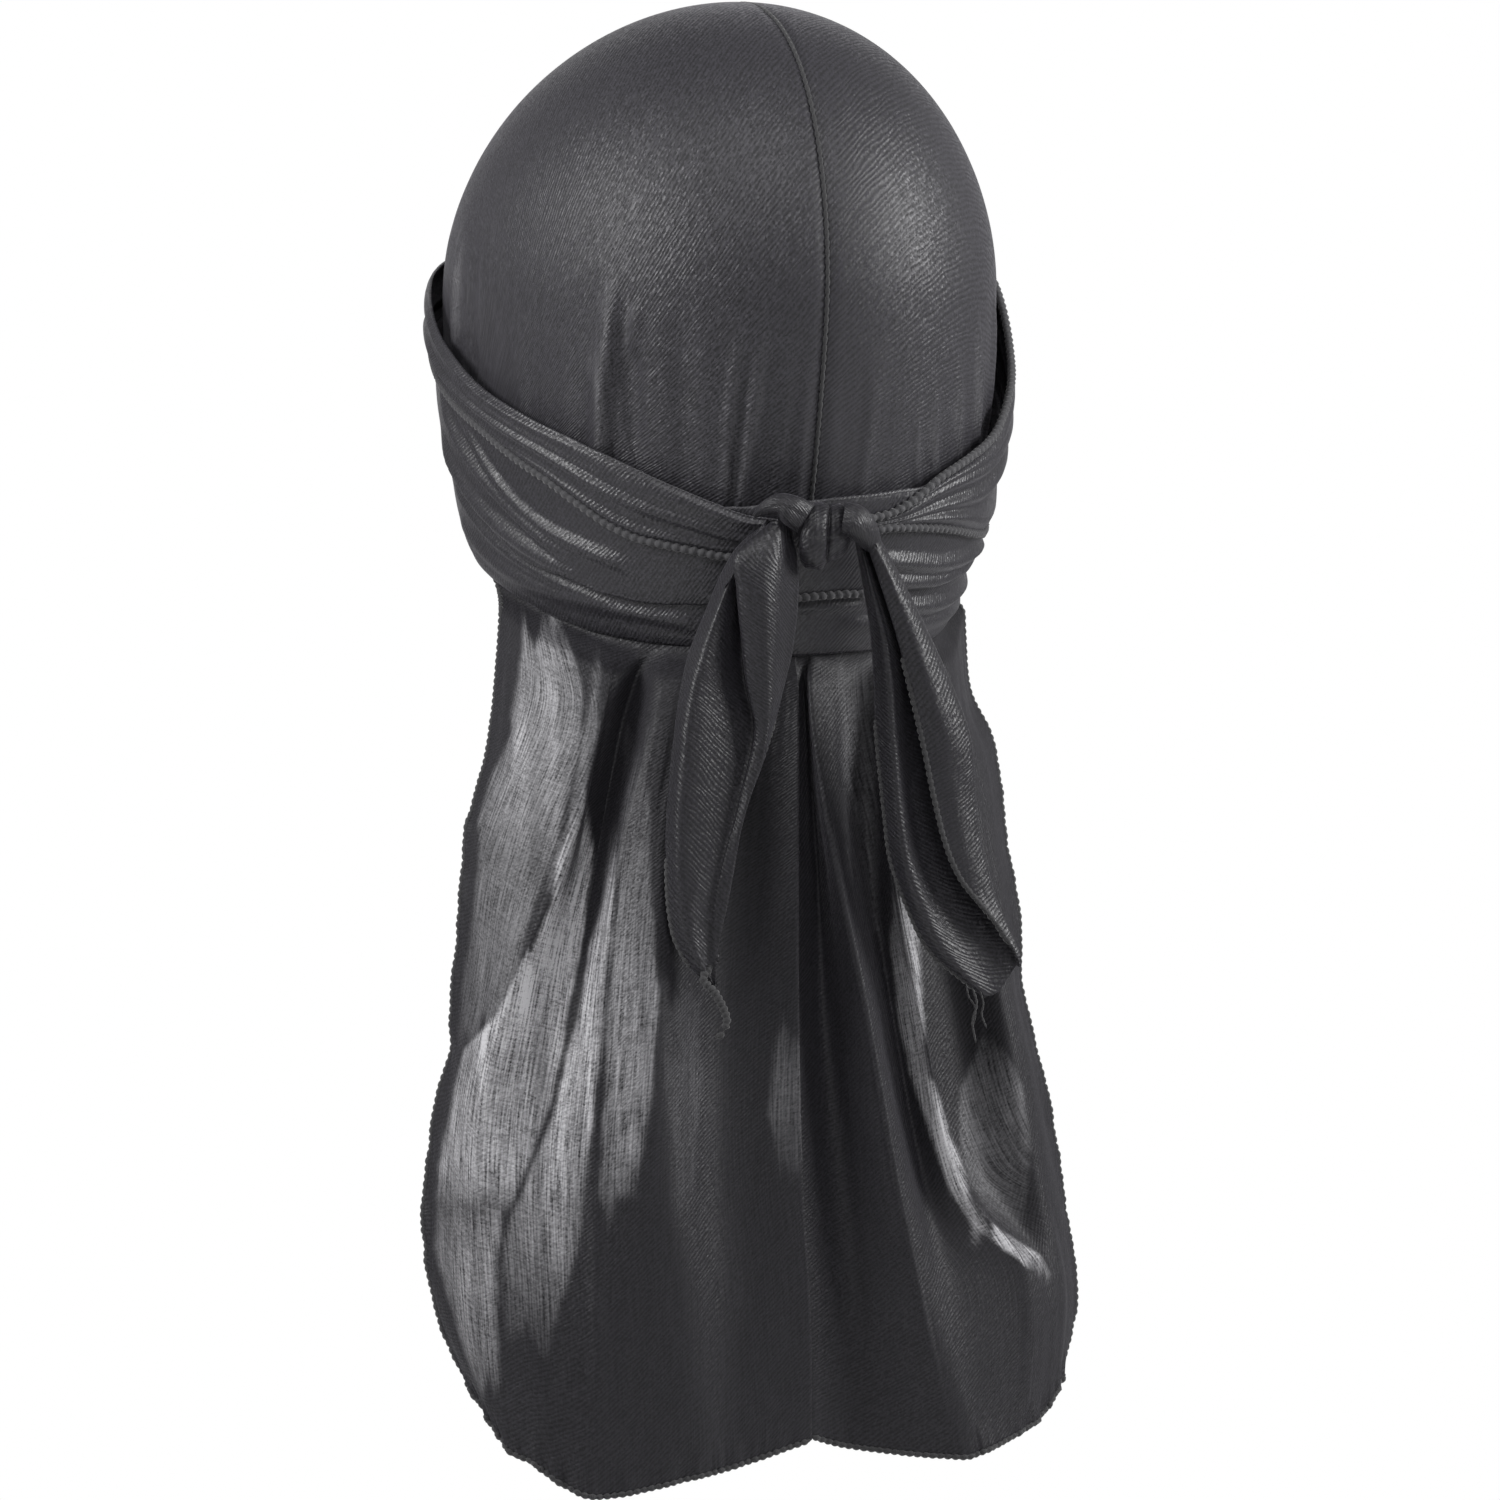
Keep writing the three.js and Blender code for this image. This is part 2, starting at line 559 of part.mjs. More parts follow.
addPiece("crown_left", crownHalf(1), satinCloth);
addPiece("crown_right", crownHalf(-1), satinCloth);
addPiece("crown_seam", crownSeam(), stitching);
addPiece("flap_left", flapHalf(1, leftFlapLines), satinCloth);
addPiece("flap_right", flapHalf(-1, rightFlapLines), satinCloth);
addPiece("strap_left", strap(leftStrap, leftStrapFolds), satinCloth);
addPiece("strap_right", strap(rightStrap, rightStrapFolds), satinCloth);
addPiece("knot", knot(), satinCloth);
addPiece("tail_left", tail(leftTail, 1), satinCloth);
addPiece("tail_right", tail(rightTail, -1), satinCloth);

export default durag;
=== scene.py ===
import math

import bpy
import numpy as np
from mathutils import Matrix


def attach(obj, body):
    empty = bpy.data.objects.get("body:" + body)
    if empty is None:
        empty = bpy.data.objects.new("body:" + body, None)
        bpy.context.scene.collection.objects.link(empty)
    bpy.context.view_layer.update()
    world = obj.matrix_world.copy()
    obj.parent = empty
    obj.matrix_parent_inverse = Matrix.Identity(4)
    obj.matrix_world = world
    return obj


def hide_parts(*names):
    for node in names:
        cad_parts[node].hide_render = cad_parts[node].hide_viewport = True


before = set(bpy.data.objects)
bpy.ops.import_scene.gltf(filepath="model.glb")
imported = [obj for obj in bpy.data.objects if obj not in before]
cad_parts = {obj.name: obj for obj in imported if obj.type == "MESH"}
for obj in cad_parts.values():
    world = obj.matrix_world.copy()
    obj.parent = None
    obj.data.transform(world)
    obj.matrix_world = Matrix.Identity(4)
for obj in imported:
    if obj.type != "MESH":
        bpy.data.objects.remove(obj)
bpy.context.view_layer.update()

# Units: tables and sizes are in millimetres, and meshes are written in metres
MM = 0.001

# Head form under the cloth
HEAD_HALF_WIDTH = 74.0
HEAD_HALF_DEPTH = 96.0
DOME_HEIGHT = 80.0
CROWN_SET_BACK = 14.0
NECK_DROP = 100.0
NECK_NARROWING = 0.23
NAPE_HOLLOW = 0.3
FACE_HOLLOW = 0.05

# Cloth and layers
CLOTH = 0.7
LAYER_PITCH = 1.5
SEAM_LIFT = 1.45
FLAP_SEAT_ANGLE = 88.0

# Stitched edges: the width, height and pitch of their stitches in millimetres
SEAM_STITCH = (1.3, 1.0, 2.6)
STRAP_STITCH = (2.6, 2.4, 2.4)
HEM_STITCH = (1.9, 1.7, 2.1)
TAIL_STITCH = (1.8, 1.6, 2.0)

# Main drops below the top of the head
CROWN_DROP = 165.0
WRAP_DROP = 181.0
FLAP_TOP = 150.0

# The view: from behind the wearer and a little to their left
VIEW_AZIMUTH = 162.0
VIEW_DISTANCE = 2500.0
PICTURE_WIDTH = 416.7
PICTURE_MIDDLE = (4.6, -206.5)

VIEW_ACROSS = np.array([math.cos(math.radians(VIEW_AZIMUTH)), math.sin(math.radians(VIEW_AZIMUTH)), 0.0])
VIEW_BACK = np.array([math.sin(math.radians(VIEW_AZIMUTH)), -math.cos(math.radians(VIEW_AZIMUTH)), 0.0])
VIEW_TARGET = VIEW_ACROSS * PICTURE_MIDDLE[0] + np.array([0.0, 0.0, PICTURE_MIDDLE[1]])


def table(columns, *rows):
    """Rows with named columns."""
    return tuple(dict(zip(columns.split(), row)) for row in rows)


# Small maths

def ease(value, low, high):
    share = np.clip((value - low) / (high - low), 0.0, 1.0)
    return share * share * (3.0 - 2.0 * share)


def bump(offset, width):
    share = np.minimum(1.0, np.abs(offset) / width)
    return (1.0 - share * share) ** 2


def curve_through(keys, values, at):
    """A smooth curve through values at rising keys, read at any places. A value may be a row of numbers."""
    keys = np.asarray(keys, float)
    values = np.asarray(values, float)
    flat = values.reshape(len(keys), -1)
    at = np.clip(np.asarray(at, float), keys[0], keys[-1])
    slopes = np.empty_like(flat)
    slopes[1:-1] = (flat[2:] - flat[:-2]) / (keys[2:] - keys[:-2])[:, None]
    slopes[0] = (flat[1] - flat[0]) / (keys[1] - keys[0])
    slopes[-1] = (flat[-1] - flat[-2]) / (keys[-1] - keys[-2])
    i = np.clip(np.searchsorted(keys, at.ravel(), side="right") - 1, 0, len(keys) - 2)
    span = (keys[i + 1] - keys[i])[:, None]
    t = ((at.ravel() - keys[i])[:, None]) / span
    h00 = 2 * t**3 - 3 * t**2 + 1
    h10 = t**3 - 2 * t**2 + t
    h01 = -2 * t**3 + 3 * t**2
    h11 = t**3 - t**2
    out = h00 * flat[i] + h10 * span * slopes[i] + h01 * flat[i + 1] + h11 * span * slopes[i + 1]
    return out.reshape(at.shape + values.shape[1:])


def read_table(rows, key, at, column):
    ordered = sorted(rows, key=lambda row: row[key])
    return curve_through([row[key] for row in ordered], [row[column] for row in ordered], at)


def ripple(u, v, seed, octaves=4, start=1.0):
    """Smooth, repeatable unevenness between about -1 and 1 over two coordinates."""
    random = np.random.default_rng(seed)
    total = np.zeros(np.broadcast(u, v).shape)
    size = 0.0
    for octave in range(octaves):
        scale = start * 1.9**octave
        weight = 0.62**octave
        for _ in range(4):
            angle = random.uniform(0, 2 * math.pi)
            phase = random.uniform(0, 2 * math.pi)
            step = scale * random.uniform(0.75, 1.3)
            total = total + weight * np.sin(step * (u * math.cos(angle) + v * math.sin(angle)) + phase)
        size += weight * 2.2
    return total / size


def on_head(angle, depth, off):
    """A point standing off the head form: angle 0 at the nape, positive to the wearer's left."""
    angle, depth, off = np.broadcast_arrays(np.asarray(angle, float), depth, off)
    rise = np.maximum(0.0, 1.0 - depth / DOME_HEIGHT)
    level = np.sqrt(np.maximum(0.0, 1.0 - rise * rise))
    below = np.maximum(0.0, depth - DOME_HEIGHT) / NECK_DROP
    across, along = np.sin(np.radians(angle)), np.cos(np.radians(angle))
    back = 1.0 - NAPE_HOLLOW * below**1.4
    front = 1.0 - FACE_HOLLOW * below * below
    share = front + (back - front) * ease(along, -0.5, 0.5)
    base = np.stack([
        HEAD_HALF_WIDTH * level * across * (1.0 - NECK_NARROWING * below * below),
        HEAD_HALF_DEPTH * level * along * share + CROWN_SET_BACK * (rise * rise - 1.0),
        -depth,
    ], axis=-1)
    away = np.stack([
        level * across / HEAD_HALF_WIDTH,
        level * along / HEAD_HALF_DEPTH,
        rise / DOME_HEIGHT,
    ], axis=-1)
    away /= np.maximum(1e-9, np.linalg.norm(away, axis=-1, keepdims=True))
    return base + away * off[..., None]


def packed_under(turn):
    """Extra stand-off of the straps over the flap's top at the nape and over the seam at the brow."""
    angle = np.abs((turn + 540.0) % 360.0 - 180.0)
    nape = 1.0 - ease(angle, FLAP_SEAT_ANGLE + 3, FLAP_SEAT_ANGLE + 24)
    brow = ease(angle, 165, 173)
    return LAYER_PITCH * nape + SEAM_LIFT * brow


# Mesh making

def grid_normals(grid):
    du = np.gradient(grid, axis=0)
    dv = np.gradient(grid, axis=1)
    normal = np.cross(du, dv)
    return normal / np.maximum(1e-9, np.linalg.norm(normal, axis=-1, keepdims=True))


def facing_back(normal):
    return -normal if np.mean(normal[..., 1]) < 0 else normal


def run_lengths(grid, axis):
    steps = np.linalg.norm(np.diff(grid, axis=axis), axis=-1)
    start = np.zeros_like(np.take(steps, [0], axis=axis))
    return np.concatenate([start, np.cumsum(steps, axis=axis)], axis=axis)


def cloth_uv(grid, hand=1):
    """Cloth coordinates in metres from the lengths along it, turned over for the other hand."""
    down = run_lengths(grid, 0)
    over = run_lengths(grid, 1)
    down = np.repeat(down[:, down.shape[1] // 2][:, None], grid.shape[1], axis=1)
    over = over - over[:, [over.shape[1] // 2]]
    return np.stack([hand * over, down], axis=-1) * MM


def add_mesh(name, points, faces, uv, material):
    """A smooth mesh from points in millimetres, faces of corners and one cloth coordinate for each point."""
    mesh = bpy.data.meshes.new(name)
    faces = np.asarray(faces, np.int32)
    count, corners = faces.shape
    mesh.vertices.add(len(points))
    mesh.vertices.foreach_set("co", (np.asarray(points) * MM).astype(np.float32).ravel())
    mesh.loops.add(count * corners)
    mesh.loops.foreach_set("vertex_index", faces.ravel())
    mesh.polygons.add(count)
    mesh.polygons.foreach_set("loop_start", np.arange(0, count * corners, corners, dtype=np.int32))
    mesh.polygons.foreach_set("loop_total", np.full(count, corners, np.int32))
    mesh.polygons.foreach_set("use_smooth", np.ones(count, bool))
    layer = mesh.uv_layers.new(name="cloth")
    layer.data.foreach_set("uv", np.asarray(uv)[faces.ravel()].astype(np.float32).ravel())
    mesh.update()
    mesh.validate()
    mesh.materials.append(material)
    piece = bpy.data.objects.new(name, mesh)
    bpy.context.collection.objects.link(piece)
    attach(piece, "root")
    return piece


def cloth_piece(name, grid, material, wall=CLOTH, outward=None, uv=None):
    """A closed sheet of cloth behind a grid of outer points, with its edges joined."""
    normal = grid_normals(grid)
    if outward is not None and np.mean(np.sum(normal * outward, axis=-1)) < 0:
        normal = -normal
    inner = grid - normal * wall
    rows, columns = grid.shape[:2]
    points = np.concatenate([grid.reshape(-1, 3), inner.reshape(-1, 3)])
    if uv is None:
        uv = cloth_uv(grid)
    flat_uv = np.concatenate([uv.reshape(-1, 2)] * 2)
    number = np.arange(rows * columns).reshape(rows, columns)
    a, b, c, d = number[:-1, :-1], number[1:, :-1], number[1:, 1:], number[:-1, 1:]
    outer = np.stack([a, b, c, d], -1).reshape(-1, 4)
    back = outer[:, ::-1] + rows * columns
    edge = np.concatenate([number[0, :], number[1:, -1], number[-1, -2::-1], number[-2:0:-1, 0]])
    follow = np.roll(edge, -1)
    rim = np.stack([edge, follow, follow + rows * columns, edge + rows * columns], -1)
    faces = np.concatenate([outer, back, rim])
    first = faces[0]
    face_normal = np.cross(points[first[1]] - points[first[0]], points[first[2]] - points[first[0]])
    if np.dot(face_normal, normal[0, 0]) < 0:
        faces = faces[:, ::-1]
    return add_mesh(name, points, faces, flat_uv, material)


def tube_faces(rings, sides):
    """Faces round a tube of rings and over its two ends."""
    number = np.arange(rings * sides).reshape(rings, sides)
    a, b = number[:-1], number[1:]
    around = np.stack([a, np.roll(a, -1, 1), np.roll(b, -1, 1), b], -1).reshape(-1, 4)
    ends = [[order[0], order[k], order[k + 1], order[k + 2]]
            for order in (number[0][::-1], number[-1]) for k in range(1, sides - 2, 2)]
    return np.concatenate([around, np.array(ends)])


def stitched_edge(path, away, width, height, pitch, sides=8, step=0.4):
    """Points and faces of an overlocked edge: a flattened roll with a thread hump at every stitch."""
    both = np.concatenate([np.asarray(path, float), np.asarray(away, float)], axis=1)
    lengths = np.concatenate([[0.0], np.cumsum(np.linalg.norm(np.diff(both[:, :3], axis=0), axis=1))])
    count = max(6, int(round(lengths[-1] / step)))
    at = np.linspace(0.0, lengths[-1], count + 1)
    line = np.stack([np.interp(at, lengths, both[:, k]) for k in range(6)], axis=1)
    centre, up = line[:, :3], line[:, 3:]
    run = np.gradient(centre, axis=0)
    run /= np.maximum(1e-9, np.linalg.norm(run, axis=1, keepdims=True))
    up = up - run * np.sum(up * run, axis=1, keepdims=True)
    up /= np.maximum(1e-9, np.linalg.norm(up, axis=1, keepdims=True))
    over = np.cross(run, up)
    spin = np.linspace(0.0, 2 * math.pi, sides, endpoint=False)
    slant = at[:, None] / pitch * 2 * math.pi + np.sin(spin)[None, :] * 1.3
    swell = 0.5 + 0.55 * np.abs(np.sin(slant / 2)) ** 0.7
    taper = np.clip(np.minimum(at, lengths[-1] - at) / 1.2, 0.15, 1.0)[:, None]
    swell = swell * taper
    points = (
        centre[:, None, :]
        + over[:, None, :] * (np.cos(spin)[None, :] * width / 2 * swell)[..., None]
        + up[:, None, :] * (np.sin(spin)[None, :] * height / 2 * swell)[..., None]
    )
    uv = np.stack(np.broadcast_arrays(spin[None, :] * width / 6, at[:, None]), -1).reshape(-1, 2) * MM
    return points.reshape(-1, 3), tube_faces(len(at), sides), uv


def edge_run(edge, normal, stitches):
    """A stitched run along the edge of a sheet, in the middle of its thickness."""
    return edge - normal * CLOTH / 2, normal, *stitches


def stitched_piece(name, runs, material, sides=6):
    """One mesh of several stitched edges. Each run is (path, away, width, height, pitch)."""
    points, faces, uvs, base = [], [], [], 0
    for run in runs:
        p, f, uv = stitched_edge(*run, sides=sides)
        points.append(p)
        faces.append(f + base)
        uvs.append(uv)
        base += len(p)
    return add_mesh(name, np.concatenate(points), np.concatenate(faces), np.concatenate(uvs), material)


# Painted light

# Painted light, as bands down the view: a pale colour painted into the cloth for highlights on the crown's
# folds, and on the flap for light shining through the thin cloth and highlights on its folds. A row is a
# place down the band, its left and right borders there and how much painted light it has.
PAINTED_LIGHT_COLUMNS = "down left right sheer"
PAINTED_LIGHT_BANDS = {
    "crown_left": (
        table(PAINTED_LIGHT_COLUMNS, (72, -34, -31.5, 0.04), (84, -37.5, -34.8, 0.1), (100, -39.5, -36.4, 0.14),
         (120, -38.5, -35.4, 0.11), (130, -36.5, -34.4, 0.03)),
        table(PAINTED_LIGHT_COLUMNS, (77, -31.6, -28.6, 0.05), (84, -30.2, -27.4, 0.1), (95, -31.4, -29.2, 0.08)),
        table(PAINTED_LIGHT_COLUMNS, (92, 0.2, 2.4, 0.03), (110, 0.0, 2.0, 0.06), (134, -2.6, -1.2, 0.07)),
        table(PAINTED_LIGHT_COLUMNS, (92, 7.2, 9.8, 0.03), (110, 5.6, 8.2, 0.05), (134, 1.2, 3.2, 0.05)),
        table(PAINTED_LIGHT_COLUMNS, (60, -79, -75, 0.08), (75, -79, -74.6, 0.14), (92, -79, -75.4, 0.08)),
    ),
    "crown_right": (
        table(PAINTED_LIGHT_COLUMNS, (114, 50.8, 52.2, 0.04), (122, 50.8, 52.4, 0.1), (132, 50.8, 52, 0.06)),
        table(PAINTED_LIGHT_COLUMNS, (108, 55, 56.8, 0.04), (120, 55.2, 57.2, 0.11), (131, 55.2, 56.8, 0.06)),
        table(PAINTED_LIGHT_COLUMNS, (103, 61.6, 63.6, 0.04), (114, 61.8, 64, 0.12), (127, 61.8, 63.6, 0.07)),
        table(PAINTED_LIGHT_COLUMNS, (90, 67, 69, 0.04), (105, 67.2, 69.4, 0.12), (122, 66.4, 68.2, 0.07)),
    ),
    "flap_left": (
        table(PAINTED_LIGHT_COLUMNS, (172, -59, -47, 0.62), (190, -60, -42, 0.6), (202, -61, -43, 0.62),
         (215, -68, -45, 0.58), (226, -71, -47, 0.48), (240, -71, -50, 0.22)),
        table(PAINTED_LIGHT_COLUMNS, (228, -71, -49, 0.2), (240, -71, -52, 0.33), (265, -74, -60, 0.3),
         (285, -76, -68, 0.25)),
        table(PAINTED_LIGHT_COLUMNS, (176, -38, -35.5, 0.15), (200, -41, -38, 0.3), (225, -46, -43, 0.35),
         (245, -53, -49, 0.3)),
        table(PAINTED_LIGHT_COLUMNS, (217, -44, -41, 0.3), (235, -48, -40, 1.0), (250, -51, -41, 1.25),
         (265, -58, -43, 1.3), (280, -65, -46, 1.2), (290, -75, -48, 1.0), (305, -79, -51, 0.95),
         (322, -82, -57, 0.9), (334, -82, -62, 0.4)),
        table(PAINTED_LIGHT_COLUMNS, (332, -82, -64, 0.3), (345, -82, -66, 0.5), (358, -80, -66, 0.45),
         (372, -75, -66, 0.4), (386, -70, -65, 0.2)),
        table(PAINTED_LIGHT_COLUMNS, (232, -34, -32.5, 0.2), (246, -36, -33, 0.9), (262, -40, -34.5, 1.1),
         (278, -43, -36, 1.1), (296, -47, -37.5, 1.1), (308, -50, -39, 1.0), (322, -56, -41, 0.8),
         (338, -62, -43, 0.55), (352, -64, -45, 0.3), (368, -63, -50, 0.1)),
        table(PAINTED_LIGHT_COLUMNS, (205, -30, -24, 0.08), (230, -31.5, -23.5, 0.16), (252, -33, -22, 0.28),
         (275, -34.5, -21.5, 0.5), (300, -35.5, -22.5, 0.55), (318, -36.5, -24.5, 0.45),
         (334, -38, -29, 0.1)),
        table(PAINTED_LIGHT_COLUMNS, (284, 13, 19, 0.1), (296, 11, 20, 0.22), (308, 10, 20, 0.2),
         (322, 13, 19, 0.08)),
        table(PAINTED_LIGHT_COLUMNS, (276, -19, -10, 0.05), (300, -19, -9, 0.12), (330, -17, -11, 0.05)),
    ),
    "flap_right": (
        table(PAINTED_LIGHT_COLUMNS, (237, 43.5, 44.5, 0.5), (248, 44, 47.5, 0.9), (258, 44, 51, 1.1),
         (272, 44.6, 52.2, 1.2), (285, 47, 52.6, 1.1), (297, 49.5, 54.4, 1.1), (308, 53.5, 58, 1.2),
         (320, 57.5, 62, 1.2), (330, 61.5, 64.6, 1.2), (339, 66.5, 69.5, 1.3)),
        table(PAINTED_LIGHT_COLUMNS, (337, 66.5, 71, 1.2), (342, 71, 78, 1.4), (347, 78, 84.5, 1.4),
         (352, 84.5, 87.5, 1.2)),
        table(PAINTED_LIGHT_COLUMNS, (286, 68, 74, 0.15), (300, 63.5, 80, 0.3), (316, 63.5, 82, 0.3),
         (330, 68, 82, 0.2), (342, 73, 80, 0.05)),
        table(PAINTED_LIGHT_COLUMNS, (176, 29, 39, 0.1), (200, 29, 39, 0.12), (230, 31, 40, 0.1),
         (262, 35, 42, 0.04)),
    ),
}
BAND_SOFTNESS = 1.0


def seen_place(points):
    """How far across and down from the crown's top the view shows points, in millimetres."""
    from_target = points - VIEW_TARGET
    zoom = VIEW_DISTANCE / (VIEW_DISTANCE - from_target @ VIEW_BACK)
    across = PICTURE_MIDDLE[0] + (from_target @ VIEW_ACROSS) * zoom
    down = -PICTURE_MIDDLE[1] - (points[..., 2] - PICTURE_MIDDLE[1]) * zoom
    return across, down


def painted_light_map(grid, bands):
    """How much painted light each point of a sheet gets, mottled, streaked along the threads, with uneven
    borders and faded where the sheet turns away from the view.
    """
    across, down = seen_place(grid)
    facing = np.abs(grid_normals(grid) @ VIEW_BACK)
    uneven = 1.1 * ripple(across / 5.0, down / 9.0, 203)
    streak = ripple(across / 1.5, down / 45.0, 205)
    mottle = 1 + 0.3 * ripple(across / 3.5, down / 14.0, 204) + 0.3 * streak
    sheer = np.zeros(across.shape)
    for band in bands:
        places = [row["down"] for row in band]
        first, last = places[0], places[-1]
        left, right, level = (np.interp(down, places, [row[column] for row in band])
                              for column in ("left", "right", "sheer"))
        inside = np.minimum(across - left, right - across)
        soft = np.minimum(BAND_SOFTNESS, (right - left) / 3)
        shape = ease(inside + uneven * soft, -soft, soft)
        ragged = down + 3 * uneven + 7 * streak
        ends = ease(ragged, first - 3, first + 3) * (1 - ease(ragged, last - 4, last + 4))
        sheer = np.maximum(sheer, level * shape * ends)
    return sheer * mottle * ease(facing, 0.1, 0.65)


def mark_painted_light(piece, grid, bands):
    """Write the painted light map to both faces of a sheet."""
    layer = piece.data.attributes.new("sheer", "FLOAT", "POINT")
    layer.data.foreach_set("value", np.tile(painted_light_map(grid, bands).ravel(), 2).astype(np.float32))


# Materials

# The satin's twill lines: their turn from down the cloth and their pitch in millimetres. The dye is darker
# between the yarns; a pale grey is painted in as painted light where light shines through the thin cloth or
# onto its folds.
TWILL_TURN = -53.0
TWILL_PITCH = 1.05
DARK_DYE = (0.0070, 0.0067, 0.0082)
LIGHT_DYE = (0.042, 0.040, 0.048)
# Colour of the painted light: a pale grey standing in for light through and on the cloth
PAINTED_LIGHT_COLOUR = (0.5, 0.495, 0.515)
SHEEN_DYE = (0.72, 0.7, 0.78)
DARK_THREAD = (0.008, 0.008, 0.009)
LIGHT_THREAD = (0.042, 0.041, 0.045)
FIBRES_PER_METRE = (1500.0, 3500.0, 1.0)
FIBRE_TURN = 0.6


def node(tree, kind, **settings):
    made = tree.nodes.new(kind)
    for key, value in settings.items():
        setattr(made, key, value)
    return made


def maths(tree, operation, *values, clamp=False):
    made = node(tree, "ShaderNodeMath", operation=operation, use_clamp=clamp)
    for socket, value in zip(made.inputs, values):
        if isinstance(value, (int, float)):
            socket.default_value = value
        else:
            tree.links.new(value, socket)
    return made.outputs[0]


def noise(tree, vector, scale, detail=2.0, roughness=0.5):
    made = node(tree, "ShaderNodeTexNoise")
    made.inputs["Scale"].default_value = scale
    made.inputs["Detail"].default_value = detail
    made.inputs["Roughness"].default_value = roughness
    tree.links.new(vector, made.inputs["Vector"])
    return made.outputs["Fac"]


def stretched(tree, vector, turn, width, length):
    """Cloth coordinates counted in marks of a size in millimetres, their length turned from straight down."""
    made = node(tree, "ShaderNodeMapping", vector_type="TEXTURE")
    made.inputs["Rotation"].default_value = (0.0, 0.0, math.radians(turn))
    made.inputs["Scale"].default_value = (width * MM, length * MM, 1.0)
    tree.links.new(vector, made.inputs["Vector"])
    return made.outputs[0]


def contrast(tree, value, gain):
    """A noise value spread about its middle and kept between 0 and 1."""
    return maths(tree, "MULTIPLY_ADD", value, gain, 0.5 - 0.5 * gain, clamp=True)


def glints(tree, vector):
    """A random value and a random tilt for every yarn crown."""
    cells = node(tree, "ShaderNodeTexVoronoi")
    cells.inputs["Scale"].default_value = 1.0
    tree.links.new(vector, cells.inputs["Vector"])
    split = node(tree, "ShaderNodeSeparateColor")
    tree.links.new(cells.outputs["Color"], split.inputs[0])
    centred = node(tree, "ShaderNodeVectorMath", operation="SUBTRACT")
    tree.links.new(cells.outputs["Color"], centred.inputs[0])
    centred.inputs[1].default_value = (0.5, 0.5, 0.5)
    return split.outputs[0], centred.outputs[0]


def tilted_normal(tree, tilt, amount):
    """The surface's normal turned a little, differently for every yarn crown."""
    surface = node(tree, "ShaderNodeNewGeometry")
    scaled = node(tree, "ShaderNodeVectorMath", operation="SCALE")
    tree.links.new(tilt, scaled.inputs[0])
    scaled.inputs["Scale"].default_value = amount
    added = node(tree, "ShaderNodeVectorMath", operation="ADD")
    tree.links.new(surface.outputs["Normal"], added.inputs[0])
    tree.links.new(scaled.outputs[0], added.inputs[1])
    unit = node(tree, "ShaderNodeVectorMath", operation="NORMALIZE")
    tree.links.new(added.outputs[0], unit.inputs[0])
    return unit.outputs[0]


